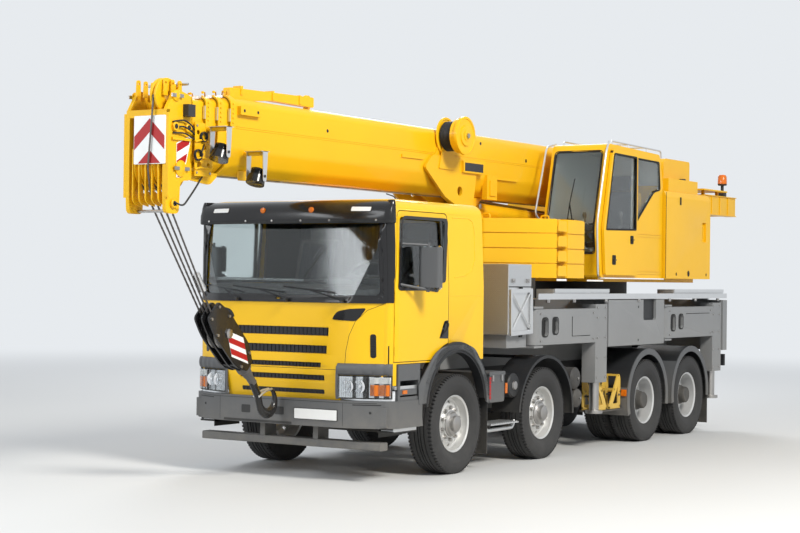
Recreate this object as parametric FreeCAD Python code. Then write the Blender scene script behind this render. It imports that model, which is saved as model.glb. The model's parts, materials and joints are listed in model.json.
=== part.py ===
import FreeCAD
import Part
import math
import os

# Four-axle truck crane with a four-section telescopic boom, stowed for the road.
# Sizes are in millimetres. X points to the vehicle's left, Z up and Y to the rear.
# A station is a distance in Y behind the first axle. ORIGIN_STATION moves it to the frame's origin.

# Running gear
AXLE_STATIONS = (0, 1940, 4700, 6055)
TYRE_RADIUS = 520
TYRE_WIDTH = 312
TYRE_SIDES = 32
BEAD_RADIUS = 290
BEAD_WIDTH = 210
RIM_SIDES = 24
RIM_LIP = 8
STEER_WHEEL_X = 1064
TWIN_OUTER_X = 1079
TWIN_SPACING = 350
SPINDLE_RADIUS = 45
KINGPIN_X = 800
KINGPIN_RADIUS = 25
FIT = 0.3
RUN_GAP = 6

# Truck frame
RAIL_HALF_WIDTH = 385
RAIL_TOP = 1010
RAIL_HEIGHT = 270
RAIL_FLANGE = 85
RAIL_WALL = 10
FRAME_FRONT = -1100
FRAME_REAR = 7300

# Driver's cab
CAB_HALF_WIDTH = 1210
CAB_FRONT = -1440
CAB_CORNER_FRONT = -1235
CAB_REAR = 530
CAB_ROOF = 2805
CAB_SILL = 1190
CAB_FLOOR = 1400
CAB_WALL = 45
PANEL_BOTTOM = 760
LAMP_BOTTOM = 812
LAMP_TOP = 960
SCREEN_BASE = 1786
SCREEN_TOP = 2650
DOOR_FRONT = -1205
DOOR_REAR = -190
DOOR_TOP = 2690
DOOR_GAP = 8
GLASS = 6

# Crane carrier
DECK_TOP = 1790
SUBFRAME_BOTTOM = RAIL_TOP
SUBFRAME_TOP = 1290
SUBFRAME_HALF_WIDTH = 400
BODY_HALF_WIDTH = 1240
BEAM_HALF_WIDTH = 90
BEAM_X = BODY_HALF_WIDTH - BEAM_HALF_WIDTH - 10
BEAM_BOTTOM = 1285
BEAM_TOP = 1690
PIVOT_PIN_RADIUS = 45
JACK_RADIUS = 60
FOOT_RADIUS = 105
FOOT_BOTTOM = 425

# Superstructure
SLEW_STATION = 5100
TABLE_BOTTOM = 2010
PIVOT = (6750, 3420)
LUFF_PIN = (1950, 2865)
LUFF_BASE = (5200, 2735)
BARREL_RADIUS = 95
ROD_RADIUS = 60

# Boom
BOOM_TOP = 3700
BOOM_STEP = 20
BOOM_WALL = 9
# Half of the boom's outline: half width, height, and the share of an inset by which the height moves
BOOM_FOLDS = ((245, BOOM_TOP, -1), (300, BOOM_TOP - 55, -0.4), (300, 3420, 0), (290, 3200, 0.3), (228, 3050, 0.8),
              (120, 2970, 1))
BOOM_BOTTOM = BOOM_FOLDS[-1][1]
BOOM_HALF_WIDTH = BOOM_FOLDS[1][0]
COLLAR_PROUD = 14
EAR_X = (110, 150)
BOOM_REAR = 6400
COLLAR_STATIONS = (-2700, -2860, -3020, -3170)
COLLAR_LENGTH = 70
HEAD_AXLE = (-3330, 2985)
SHEAVE_RADIUS = 195
HEAD_FRONT = -3540

# Rear end of the tail frame
TAIL_REAR = 8100

ORIGIN_STATION = (HEAD_FRONT + TAIL_REAR) / 2
AXLE_Z = TYRE_RADIUS * math.cos(math.pi / TYRE_SIDES)
SIDES = (("left", 1), ("right", -1))
ROUND_SHARE = 0.48


def vec(x, y, z):
    return FreeCAD.Vector(x, y, z)


def box(x, y, z):
    """A block between two limits on each axis."""
    return Part.makeBox(x[1] - x[0], y[1] - y[0], z[1] - z[0], vec(x[0], y[0], z[0]))


def rod(start, end, radius):
    """A round bar between two points."""
    path = vec(*end) - vec(*start)
    return Part.makeCylinder(radius, path.Length, vec(*start), path)


def place(axis, a, b, along=0):
    """A point of an outline drawn across the axis."""
    if axis == "x":
        return vec(along, a, b)
    if axis == "y":
        return vec(a, along, b)
    return vec(a, b, along)


def outline_wire(points, axis, along):
    """A closed wire through points (a, b) or, with a corner radius, (a, b, radius)."""
    corners = []
    for number, point in enumerate(points):
        here = place(axis, point[0], point[1], along)
        if len(point) < 3:
            corners.append((here, here, None))
            continue
        before = points[number - 1]
        after = points[(number + 1) % len(points)]
        to_before = (place(axis, before[0], before[1], along) - here).normalize()
        to_after = (place(axis, after[0], after[1], along) - here).normalize()
        half = to_before.getAngle(to_after) / 2
        # The round takes at most half of the shorter side
        side = min((place(axis, other[0], other[1], along) - here).Length for other in (before, after))
        cut = min(point[2] / math.tan(half), side * ROUND_SHARE)
        radius = cut * math.tan(half)
        middle = (to_before + to_after).normalize()
        crown = here + middle * (radius / math.sin(half) - radius)
        corners.append((here + to_before * cut, here + to_after * cut, crown))
    edges = []
    for number, (start, end, crown) in enumerate(corners):
        if crown is not None:
            edges.append(Part.Arc(start, crown, end).toShape())
        following = corners[(number + 1) % len(corners)][0]
        if (following - end).Length > 0.001:
            edges.append(Part.LineSegment(end, following).toShape())
    return Part.Wire(edges)


def prism(points, axis, span):
    """An outline drawn across the axis and extruded over the span."""
    face = Part.Face(outline_wire(points, axis, span[0]))
    direction = {"x": vec(1, 0, 0), "y": vec(0, 1, 0), "z": vec(0, 0, 1)}[axis]
    return face.extrude(direction * (span[1] - span[0]))


def join(*shapes):
    return shapes[0].fuse(list(shapes[1:])).removeSplitter()


def group(*shapes):
    """Separate solids that share a node."""
    return Part.makeCompound(list(shapes))


def mirrored(shape):
    return shape.mirror(vec(0, 0, 0), vec(1, 0, 0))


def both(shape):
    return group(shape, mirrored(shape))


def sided(shape, side):
    return shape if side > 0 else mirrored(shape)


def ring(profile, sides, station, height):
    """A wheel-like solid about an X axis, with flat sides. The profile holds (x, radius) points."""
    def at(point, number):
        turn = 2 * math.pi * (number + 0.5) / sides
        return vec(point[0], station + point[1] * math.sin(turn), height - point[1] * math.cos(turn))

    faces = []
    for number in range(sides):
        for start, end in zip(profile, profile[1:] + profile[:1]):
            corners = [at(start, number), at(end, number)]
            if end[1] > 0:
                corners.append(at(end, number + 1))
            if start[1] > 0:
                corners.append(at(start, number + 1))
            if len(corners) > 2:
                faces.append(Part.Face(Part.makePolygon(corners + corners[:1])))
    solid = Part.Solid(Part.Shell(faces))
    if solid.Volume < 0:
        solid.reverse()
    return solid


# Truck frame

def chassis_frame():
    outer = RAIL_HALF_WIDTH
    inner = outer - RAIL_FLANGE
    bottom = RAIL_TOP - RAIL_HEIGHT
    channel = prism([(outer, bottom), (outer, RAIL_TOP), (inner, RAIL_TOP),
                     (inner, RAIL_TOP - RAIL_WALL), (outer - RAIL_WALL, RAIL_TOP - RAIL_WALL),
                     (outer - RAIL_WALL, bottom + RAIL_WALL), (inner, bottom + RAIL_WALL),
                     (inner, bottom)], "y", (FRAME_FRONT, FRAME_REAR))
    pieces = [channel, mirrored(channel)]
    web = outer - RAIL_WALL
    # station, length, bottom and top of each cross member
    for station, length, low, high in ((FRAME_FRONT, 80, 760, 990), (850, 60, 790, 960), (2750, 60, 790, 960),
                                       (3900, 60, 790, 960), (5350, 100, 790, 990), (7200, 60, 760, 990)):
        pieces.append(box((-web, web), (station, station + length), (low, high)))
    # Spring hangers below the rails, at both ends of each spring
    for start, end in SPRING_ENDS:
        for station in (start, end):
            hanger = prism([(station - 60, bottom), (station + 60, bottom), (station + 25, SPRING_END_TOP + FIT),
                            (station - 25, SPRING_END_TOP + FIT)], "x", (inner, outer))
            pieces += [hanger, mirrored(hanger)]
    return join(*pieces)


SPRING_ENDS = ((-700, 700), (1290, 2590))
SPRING_END_TOP = 700
SPRING_LEAF = 50
SPRING_SEAT = 590


def leaf_spring(start, end, seat, end_top, hump=1):
    """A curved leaf pack, drawn across X, sitting on its axle at the seat height."""
    middle = (start + end) / 2
    low = Part.Arc(vec(0, start, end_top - SPRING_LEAF), vec(0, middle, seat), vec(0, end, end_top - SPRING_LEAF))
    high = Part.Arc(vec(0, end, end_top), vec(0, middle, seat + 2 * SPRING_LEAF * hump), vec(0, start, end_top))
    ends = [Part.LineSegment(vec(0, end, end_top - SPRING_LEAF), vec(0, end, end_top)),
            Part.LineSegment(vec(0, start, end_top), vec(0, start, end_top - SPRING_LEAF))]
    wire = Part.Wire([low.toShape(), ends[0].toShape(), high.toShape(), ends[1].toShape()])
    spring = Part.Face(wire).extrude(vec(80, 0, 0))
    spring.translate(vec(RAIL_HALF_WIDTH - RAIL_FLANGE, 0, 0))
    return spring


BOSS_RADIUS = 44


def front_axle(station, spring):
    """A dropped beam with an eye for the kingpin at each end and a spring on each side."""
    eye = KINGPIN_X
    outline = [(-eye, AXLE_Z - 60), (-eye + 60, AXLE_Z - 60), (-560, AXLE_Z - 140), (560, AXLE_Z - 140),
               (eye - 60, AXLE_Z - 60), (eye, AXLE_Z - 60), (eye, AXLE_Z + 60), (eye - 80, AXLE_Z + 60),
               (560, AXLE_Z - 30), (-560, AXLE_Z - 30), (-eye + 80, AXLE_Z + 60), (-eye, AXLE_Z + 60)]
    beam = prism(outline, "y", (station - 40, station + 40))
    for end in (-eye, eye):
        beam = beam.fuse(rod((end, station, AXLE_Z - 60), (end, station, AXLE_Z + 60), BOSS_RADIUS))
    left_spring = leaf_spring(spring[0], spring[1], SPRING_SEAT, SPRING_END_TOP)
    seat = box((RAIL_HALF_WIDTH - RAIL_FLANGE, RAIL_HALF_WIDTH), (station - 70, station + 70),
               (AXLE_Z - 60, SPRING_SEAT + SPRING_LEAF))
    axle = join(beam, left_spring, mirrored(left_spring), seat, mirrored(seat))
    for side in (1, -1):
        bore = rod((side * eye, station, 0), (side * eye, station, 1000), KINGPIN_RADIUS + FIT)
        axle = axle.cut(bore)
    return axle


REAR_HOUSING_RADIUS = 75
REAR_SPINDLE_X = 900
BOGIE_STATION = (AXLE_STATIONS[2] + AXLE_STATIONS[3]) / 2


def rear_bogie():
    """Two driven axles with their differentials, carried by a spring that rocks on each side."""
    pieces = []
    for station in AXLE_STATIONS[2:]:
        pieces.append(rod((-480, station, AXLE_Z), (480, station, AXLE_Z), REAR_HOUSING_RADIUS))
        pieces.append(rod((-REAR_SPINDLE_X, station, AXLE_Z), (REAR_SPINDLE_X, station, AXLE_Z), SPINDLE_RADIUS))
        pieces.append(rod((-130, station, AXLE_Z), (130, station, AXLE_Z), 190))
        pieces.append(rod((0, station - 330, AXLE_Z + 20), (0, station, AXLE_Z + 20), 95))
    spring = leaf_spring(AXLE_STATIONS[2] - 60, AXLE_STATIONS[3] + 60, 640, AXLE_Z + 110, 0.75)
    trunnion = box((RAIL_HALF_WIDTH - RAIL_FLANGE, RAIL_HALF_WIDTH),
                   (BOGIE_STATION - 90, BOGIE_STATION + 90), (690, RAIL_TOP - RAIL_HEIGHT))
    pieces += [spring, mirrored(spring), trunnion, mirrored(trunnion)]
    pads = []
    for station in AXLE_STATIONS[2:]:
        pads.append(box((RAIL_HALF_WIDTH - RAIL_FLANGE, RAIL_HALF_WIDTH), (station - 50, station + 50),
                        (AXLE_Z, AXLE_Z + 90)))
    pieces += pads + [mirrored(pad) for pad in pads]
    return join(*pieces)


def axles():
    front = [front_axle(station, spring) for station, spring in zip(AXLE_STATIONS[:2], SPRING_ENDS)]
    return group(front[0], front[1], rear_bogie())


ENGINE_HALF_WIDTH = 290


def engine_block():
    block = box((-ENGINE_HALF_WIDTH, ENGINE_HALF_WIDTH), (-800, 400), (700, 1330))
    gearbox = prism([(400, 700), (840, 740), (840, 980), (400, 1100)], "x", (-200, 200))
    foot = box((ENGINE_HALF_WIDTH - 1, RAIL_HALF_WIDTH - RAIL_WALL), (-300, -180), (800, 880))
    return join(block, gearbox, foot, mirrored(foot))


# Wheels

def knuckle(station, side):
    """A yoke that holds the beam's end between two arms, with its kingpin and spindle."""
    reach = KINGPIN_X
    top = AXLE_Z + 60 + RUN_GAP
    bottom = AXLE_Z - 60 - RUN_GAP
    arm = 25
    pieces = [rod((reach, station, bottom - arm), (reach, station, top + arm), KINGPIN_RADIUS),
              box((reach - 40, reach + 85), (station - 45, station + 45), (top, top + arm)),
              box((reach - 40, reach + 85), (station - 45, station + 45), (bottom - arm, bottom)),
              box((reach + 50, reach + 85), (station - 60, station + 60), (bottom - arm, top + arm)),
              rod((reach + 80, station, AXLE_Z), (STEER_WHEEL_X + 40, station, AXLE_Z), SPINDLE_RADIUS),
              box((reach + 50, reach + 85), (station + 50, station + 230), (bottom - arm, bottom + 30))]
    return sided(join(*pieces), side)


def tyre_ring(centre, station):
    half_bead = BEAD_WIDTH / 2
    half_width = TYRE_WIDTH / 2
    crown = half_width - 22
    bulge = (BEAD_RADIUS + TYRE_RADIUS) / 2
    profile = [(-half_bead, BEAD_RADIUS), (-half_width, bulge), (-crown, TYRE_RADIUS),
               (crown, TYRE_RADIUS), (half_width, bulge), (half_bead, BEAD_RADIUS)]
    return ring([(centre + x, radius) for x, radius in profile], TYRE_SIDES, station, AXLE_Z)


def tyre(axle, side):
    """One tyre on a steered axle and two side by side on a driven one."""
    station = AXLE_STATIONS[axle]
    if axle < 2:
        return sided(tyre_ring(STEER_WHEEL_X, station), side)
    return sided(group(tyre_ring(TWIN_OUTER_X, station), tyre_ring(TWIN_OUTER_X - TWIN_SPACING, station)), side)


def rim(axle, side):
    """Disc wheel and hub. Its barrel seats in the bead of the tyre."""
    barrel = BEAD_RADIUS * math.cos(math.pi / TYRE_SIDES) - FIT
    lip = barrel + RIM_LIP
    bead = BEAD_WIDTH / 2 + 4
    edge = bead + 10
    bore = (SPINDLE_RADIUS + FIT) / math.cos(math.pi / RIM_SIDES)
    station = AXLE_STATIONS[axle]
    if axle < 2:
        profile = [(-edge, lip), (-bead, lip), (-bead, barrel), (bead, barrel), (bead, lip), (edge, lip),
                   (edge - 20, lip - 25), (75, 150), (130, 125), (145, 0), (50, 0), (50, bore), (-60, bore),
                   (-60, 150), (40, 240), (-edge, lip - 22)]
        return sided(ring([(STEER_WHEEL_X + x, radius) for x, radius in profile], RIM_SIDES, station, AXLE_Z), side)
    inner = TWIN_OUTER_X - TWIN_SPACING
    outer = TWIN_OUTER_X
    hub_face = outer + 120
    profile = [(inner - edge, lip), (inner - bead, lip), (inner - bead, barrel), (inner + bead, barrel),
               (inner + bead + 10, 270), (outer - bead - 10, 270), (outer - bead, barrel), (outer + bead, barrel),
               (outer + bead, lip), (outer + edge, lip), (outer + edge, lip - 25), (outer - 75, 240),
               (outer - 95, 135), (outer + 60, 110), (hub_face, 90), (hub_face, 0), (REAR_SPINDLE_X + FIT, 0),
               (REAR_SPINDLE_X + FIT, bore), (inner - 20, bore), (inner - 20, 150), (outer - 110, 150),
               (outer - 110, 235), (inner - edge, 262)]
    return sided(ring(profile, RIM_SIDES, station, AXLE_Z), side)


# Driver's cab

def cab_solid(inset, bottom=PANEL_BOTTOM):
    """The cab's outer form, made smaller all round by the inset."""
    half = CAB_HALF_WIDTH - inset
    front = CAB_FRONT + inset
    corner = CAB_CORNER_FRONT + inset
    rear = CAB_REAR - inset
    roof = CAB_ROOF - inset
    plan = prism([(-half, rear), (-half, corner, 170), (-760, front, 900), (760, front, 900),
                  (half, corner, 170), (half, rear)], "z", (bottom, roof))
    side = prism([(front + 70, bottom), (front, bottom + 330, 500), (front + 30, SCREEN_BASE),
                  (front + 215, roof - 45, 60), (front + 420, roof), (rear, roof), (rear, bottom)],
                 "x", (-half, half))
    section = prism([(-half, bottom), (-half, 1950), (-half + 40, roof, 130), (half - 40, roof, 130),
                     (half, 1950), (half, bottom)], "y", (front, rear))
    return plan.common(side).common(section)


DOOR_OUTLINE = ((DOOR_FRONT, CAB_SILL), (DOOR_REAR, CAB_SILL), (DOOR_REAR, DOOR_TOP, 60), (-1150, DOOR_TOP, 60),
                (DOOR_FRONT, 1950))
DOOR_DEPTH_X = CAB_HALF_WIDTH - 70
HINGE_RADIUS = 6
HINGE_X = CAB_HALF_WIDTH - 13
HINGE_STATION = DOOR_FRONT + DOOR_GAP + 4
HINGE_HEIGHTS = (1260, 1560, 1800)
DOOR_WINDOW = ((-1150, 1915, 40), (-275, 1996, 40), (-245, 2624, 50), (-1105, 2624, 50))
SCREEN_OUTLINE = ((-1120, SCREEN_BASE + 20, 60), (1120, SCREEN_BASE + 20, 60), (1080, SCREEN_TOP, 60), (-1080, SCREEN_TOP, 60))
VISOR_THICKNESS = 14
ARCH_CENTRE = (-50, 690)
ARCH_INNER = 570
ARCH_OUTER = 680


def grown(points, amount):
    """An outline moved outwards by the amount, or inwards if it is negative."""
    middle_a = sum(point[0] for point in points) / len(points)
    middle_b = sum(point[1] for point in points) / len(points)
    moved = []
    for point in points:
        a = point[0] + (amount if point[0] > middle_a else -amount)
        b = point[1] + (amount if point[1] > middle_b else -amount)
        moved.append((a, b) + tuple(point[2:]))
    return moved


# lower edge, upper edge and half width
GRILLE_SLOTS = ((861, 912, 512), (996, 1053, 524), (1124, 1177, 487), (1262, 1346, 552), (1438, 1526, 566))
GRILLE_DEPTH = 34


def driver_cab():
    shell = cab_solid(0)
    shell = shell.cut(cab_solid(CAB_WALL, CAB_FLOOR))
    # Space below the floor, open to the rear and below
    shell = shell.cut(box((-CAB_HALF_WIDTH + CAB_WALL, CAB_HALF_WIDTH - CAB_WALL), (-1250, CAB_REAR + 1),
                          (PANEL_BOTTOM - 1, CAB_FLOOR - CAB_WALL)))
    below = box((-CAB_HALF_WIDTH - 1, CAB_HALF_WIDTH + 1), (-1170, CAB_REAR + 1), (PANEL_BOTTOM - 1, CAB_SILL - 15))
    shell = shell.cut(below)
    for side in (1, -1):
        arch = rod((DOOR_DEPTH_X,) + ARCH_CENTRE, (CAB_HALF_WIDTH + 90,) + ARCH_CENTRE, ARCH_OUTER)
        shell = shell.cut(sided(arch, side))
        shell = shell.cut(sided(prism(DOOR_OUTLINE, "x", (DOOR_DEPTH_X - 15, CAB_HALF_WIDTH + 90)), side))
    shell = shell.cut(prism(SCREEN_OUTLINE, "y", (-1500, -1000)))
    for low, high, half in GRILLE_SLOTS:
        shell = shell.cut(box((-half, half), (CAB_FRONT - 60, CAB_FRONT + GRILLE_DEPTH), (low, high)))
    for side in (1, -1):
        lamp = box((690, CAB_HALF_WIDTH + 20), (-1500, -1100), (PANEL_BOTTOM - 1, LAMP_TOP + 5))
        shell = shell.cut(sided(lamp, side))
    return shell


def cab_skin(points, axis, span):
    """A pane that follows the cab's surface inside an opening."""
    layer = cab_solid(12).cut(cab_solid(12 + GLASS))
    return layer.common(prism(grown(points, -FIT), axis, span))


def cab_glass():
    return cab_skin(SCREEN_OUTLINE, "y", (-1500, -1000))


def door(side):
    """A door with its pane. The door is the cab's wall inside its opening."""
    wall = cab_solid(0).cut(cab_solid(CAB_WALL))
    beyond = CAB_HALF_WIDTH + 90
    panel = wall.common(prism(grown(DOOR_OUTLINE, -DOOR_GAP), "x", (DOOR_DEPTH_X, beyond)))
    panel = panel.cut(prism(DOOR_WINDOW, "x", (DOOR_DEPTH_X - 90, beyond)))
    panel = panel.cut(rod((DOOR_DEPTH_X,) + ARCH_CENTRE, (beyond,) + ARCH_CENTRE, ARCH_OUTER + DOOR_GAP))
    pane = cab_skin(DOOR_WINDOW, "x", (DOOR_DEPTH_X - 90, beyond))
    hinges = [rod((HINGE_X, HINGE_STATION, height), (HINGE_X, HINGE_STATION, height + 90), HINGE_RADIUS)
              for height in HINGE_HEIGHTS]
    return sided(group(join(panel, *hinges), pane), side)


def mirror(side):
    """Mirror housings on an arm at the top front corner of the door."""
    housing = prism([(1265, -905, 40), (1500, -860, 40), (1490, -760, 40), (1265, -800, 40)], "z", (1930, 2330))
    arm = rod((1190, -1125, 2360), (1360, -850, 2350), 13)
    lower = rod((1200, -1125, 1960), (1360, -850, 1910), 13)
    upright = rod((1360, -850, 1885), (1360, -850, 2375), 18)
    return sided(join(housing, arm, lower, upright).cut(cab_solid(-FIT)), side)


def cab_interior():
    floor = CAB_FLOOR
    pieces = []
    dash = prism([(-1300, floor), (-1010, floor), (-980, 1850, 60), (-1060, 1960, 60), (-1320, 1900)],
                 "x", (-1100, 1100))
    dash = dash.common(cab_solid(CAB_WALL + 2, floor))
    column = rod((620, -1060, 1800), (620, -870, 2010), 30)
    pieces.append(join(dash, column))
    for centre in (620, -620):
        cushion = prism([(-520, 1640, 40), (-20, 1640, 40), (60, 1820, 60), (-20, 1830, 60), (-520, 1800, 50)],
                        "x", (centre - 260, centre + 260))
        back = prism([(-60, 1800, 30), (80, 1800, 30), (210, 2420, 50), (90, 2440, 50)],
                     "x", (centre - 250, centre + 250))
        rest = prism([(115, 2380, 20), (190, 2380, 20), (220, 2600, 30), (150, 2600, 30)],
                     "x", (centre - 140, centre + 140))
        base = box((centre - 180, centre + 180), (-420, -60), (floor, 1680))
        pieces.append(join(cushion, back, rest, base))
    wheel = ring([(-15, 240), (15, 240), (15, 205), (-15, 205)], 16, 0, 0)
    wheel = join(wheel, box((-10, 10), (-210, 210), (-25, 25)))
    wheel.rotate(vec(0, 0, 0), vec(0, 0, 1), 90)
    wheel.rotate(vec(0, 0, 0), vec(1, 0, 0), -42)
    wheel.translate(vec(620, -860, 2022))
    pieces.append(wheel)
    return group(*pieces)


def bumper_plan(inset, z):
    half = CAB_HALF_WIDTH + 27 - inset
    return prism([(-half, -690), (-half, -1250 + inset, 150), (-800, -1455 + inset, 700),
                  (800, -1455 + inset, 700), (half, -1250 + inset, 150), (half, -690)], "z", z)


def front_bumper():
    """Bumper shell with the entry steps at its ends and the bar below it."""
    shell = bumper_plan(0, (545, LAMP_BOTTOM)).cut(bumper_plan(60, (540, LAMP_BOTTOM + 8)))
    pieces = [shell]
    back = box((-1180, 1180), (-1310, -1270), (560, 750))
    pieces.append(back)
    for side in (1, -1):
        step = box((1010, 1225), (-1165, -760), (545, CAB_SILL - 20))
        for low, high in ((600, 780), (850, 1010)):
            step = step.cut(box((1050, 1300), (-1130, -790), (low, high)))
        bracket = join(box((300, 360), (-1290, FRAME_FRONT), (330, 750)), box((300, 360), (-1245, FRAME_FRONT), (330, 900)))
        pieces += [sided(step, side), sided(bracket, side)]
    bar = prism([(-1300, 325, 15), (-1160, 325, 15), (-1160, 405, 15), (-1300, 405, 15)], "x", (-1106, 1106))
    shape = join(*pieces, bar)
    arch = rod((-1300, ARCH_CENTRE[0], ARCH_CENTRE[1]), (1300, ARCH_CENTRE[0], ARCH_CENTRE[1]), ARCH_OUTER)
    return shape.cut(arch)


def headlamps():
    ring_piece = cab_solid(4).cut(cab_solid(90))
    lamp = ring_piece.common(box((695, CAB_HALF_WIDTH + 20), (-1500, -1172), (LAMP_BOTTOM, LAMP_TOP)))
    return both(lamp)


def sun_visor():
    """A shade that wraps round the top of the windscreen and stands off it along its lower edge."""
    half = CAB_HALF_WIDTH - 12
    rear = DOOR_FRONT - 12
    shade = []
    for inset in (0, VISOR_THICKNESS):
        low = prism([(-half + inset, rear + 1 - inset), (-half + inset, rear - inset), (-half + 50, -1290 + inset, 60),
                     (-700, -1375 + inset, 900), (700, -1375 + inset, 900), (half - 50, -1290 + inset, 60),
                     (half - inset, rear - inset), (half - inset, rear + 1 - inset)],
                    "z", (2560 - inset, 2780 + inset))
        slope = prism([(rear + 1 - inset, 2560 - inset), (-1400 + inset, 2560 - inset), (-1375 + inset, 2640),
                       (-1235 + inset, 2780 + inset), (rear + 1 - inset, 2780 + inset)], "x", (-half, half))
        shade.append(low.common(slope))
    return shade[0].cut(shade[1]).cut(cab_solid(-FIT))


def mudguard(station, radius, low_front, low_rear, x, thickness=12):
    """An arched strip over a wheel, cut off at its two lower edges."""
    centre = MUDGUARD_TOP - radius
    axis = ((x[0], station, centre), (x[1], station, centre))
    arch = rod(axis[0], axis[1], radius).cut(rod(axis[0], axis[1], radius - thickness))
    front = box(x, (station - radius - 1, station), (centre - radius - 1, low_front))
    rear = box(x, (station, station + radius + 1), (centre - radius - 1, low_rear))
    return arch.cut(front).cut(rear)


MUDGUARD_TOP = 1167
FLAP_BOTTOM = 110
# station, radius, height of the front edge, height of the rear edge, inner and outer face
MUDGUARDS = (
    (AXLE_STATIONS[1], 662, 560, 480, (900, BODY_HALF_WIDTH)),
    (AXLE_STATIONS[2], 620, 700, 980, (560, BODY_HALF_WIDTH)),
    (AXLE_STATIONS[3], 620, 980, 480, (560, BODY_HALF_WIDTH)),
)


def mudguards():
    pieces = []
    for station, radius, low_front, low_rear, x in MUDGUARDS:
        guard = mudguard(station, radius, low_front, low_rear, x)
        stay = rod((SUBFRAME_HALF_WIDTH, station, MUDGUARD_TOP - 25), (x[0] + 20, station, MUDGUARD_TOP - 25), 18)
        guard = join(guard, stay)
        if station == AXLE_STATIONS[-1]:
            rear = station + radius
            guard = join(guard, box((640, 1235), (rear - 12, rear), (FLAP_BOTTOM, MUDGUARD_TOP - radius)))
        pieces += [guard, mirrored(guard)]
    arch_x = (DOOR_DEPTH_X + 5, CAB_HALF_WIDTH + 32)
    arch = rod((arch_x[0],) + ARCH_CENTRE, (arch_x[1],) + ARCH_CENTRE, ARCH_OUTER - FIT)
    arch = arch.cut(rod((arch_x[0],) + ARCH_CENTRE, (arch_x[1],) + ARCH_CENTRE, ARCH_INNER))
    arch = arch.cut(box(arch_x, (-800, 800), (0, 760)))
    pieces += [arch, mirrored(arch)]
    return group(*pieces)


def tanks():
    pieces = []
    # side, station and height of the centre, radius, inner and outer end
    web = RAIL_HALF_WIDTH
    air = rod((web, 2830, 870), (1150, 2830, 870), 130)
    lower = rod((web + 35, 2890, 635), (1150, 2890, 635), 110)
    hanger = box((560, 620), (2810, 2870), (730, 760))
    pieces += [join(air, lower, hanger), mirrored(air)]
    fuel = prism([(700, 520, 80), (1230, 520, 80), (1230, 990, 80), (700, 990, 80)], "x", (-1180, -520))
    straps = [box((-521, -web), (station, station + 60), (760, 980)) for station in (780, 1090)]
    battery = box((560, 1180), (690, 1020), (690, 1015))
    shelf = box((web, 561), (780, 930), (800, 960))
    pieces += [join(fuel, *straps), join(battery, shelf)]
    return group(*pieces)


TOOL_BOX_BOTTOM = 1415


def tool_box():
    return box((560, BODY_HALF_WIDTH), (1020, 1550), (TOOL_BOX_BOTTOM, 2190))


# Crane carrier

# station of the pivot, station of the leg's front and rear faces
OUTRIGGERS = (("front", 1750, 3205, 3520), ("rear", 5350, 6850, 7160))


def crane_subframe():
    pieces = [box((-SUBFRAME_HALF_WIDTH, SUBFRAME_HALF_WIDTH), (1000, 7350), (SUBFRAME_BOTTOM, SUBFRAME_TOP)),
              box((-600, 600), (1650, 2850), (SUBFRAME_TOP, 2045)),
              box((-1000, 1000), (3560, 5180), (SUBFRAME_TOP, DECK_TOP)),
              box((-BODY_HALF_WIDTH, BODY_HALF_WIDTH), (3560, 5180), (1600, DECK_TOP)),
              box((-750, 750), (4300, 5900), (SUBFRAME_TOP, DECK_TOP)),
              box((400, 1200), (1060, 1510), (1270, TOOL_BOX_BOTTOM)),
              box((-BODY_HALF_WIDTH, BODY_HALF_WIDTH), (7200, 7350), (1080, 1775))]
    for side in (1, -1):
        pieces.append(sided(prism([(3540, 1225), (5190, 1225), (5190, DECK_TOP), (3540, DECK_TOP)], "x",
                                  (1180, BODY_HALF_WIDTH)), side))
        for name, pivot, leg_front, leg_rear in OUTRIGGERS:
            block = box((SUBFRAME_HALF_WIDTH, 1000), (pivot - 110, pivot + 110), (1250, 1725))
            lower = box((900, 1230), (pivot - 110, pivot + 110), (BEAM_BOTTOM - RUN_GAP - 25, BEAM_BOTTOM - RUN_GAP))
            upper = box((900, 1230), (pivot - 110, pivot + 110), (BEAM_TOP + RUN_GAP, BEAM_TOP + RUN_GAP + 25))
            pin = rod((BEAM_X, pivot, BEAM_BOTTOM - RUN_GAP - 25), (BEAM_X, pivot, BEAM_TOP + RUN_GAP + 25),
                      PIVOT_PIN_RADIUS)
            pieces += [sided(block, side), sided(lower, side), sided(upper, side), sided(pin, side)]
    frame = join(*pieces)
    for side in (1, -1):
        outer = (BODY_HALF_WIDTH - RECESS, BODY_HALF_WIDTH + 1)
        frame = frame.cut(sided(prism([(4550, 1530, 40), (4940, 1530, 40), (4940, DECK_TOP + 1), (4550, DECK_TOP + 1)],
                                      "x", outer), side))
    return frame


RECESS = 40


def outrigger(pivot, leg_front, leg_rear, side):
    """A folding arm with the guide of its jack at the free end."""
    x = (BEAM_X - BEAM_HALF_WIDTH, BEAM_X + BEAM_HALF_WIDTH)
    arm = box(x, (pivot, leg_rear), (BEAM_BOTTOM, BEAM_TOP))
    nose = rod((BEAM_X, pivot, BEAM_BOTTOM), (BEAM_X, pivot, BEAM_TOP), BEAM_HALF_WIDTH)
    leg = box(x, (leg_front, leg_rear), (800, 1740))
    beam = join(arm, nose, leg)
    beam = beam.cut(rod((BEAM_X, pivot, 1000), (BEAM_X, pivot, 2000), PIVOT_PIN_RADIUS + FIT))
    middle = (leg_front + leg_rear) / 2
    beam = beam.cut(rod((BEAM_X, middle, 700), (BEAM_X, middle, 1680), JACK_RADIUS + FIT))
    # Slot for the hoses and oval hole in the outer wall
    outer = (x[1] - RECESS, x[1] + 1)
    beam = beam.cut(prism([(pivot + 130, 1385, 45), (pivot + 230, 1385, 45), (pivot + 230, 1585, 45),
                           (pivot + 130, 1585, 45)], "x", outer))
    beam = beam.cut(prism([(pivot + 385, 1408, 50), (pivot + 485, 1408, 50), (pivot + 485, 1588, 50),
                           (pivot + 385, 1588, 50)], "x", outer))
    return sided(beam, side)


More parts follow.
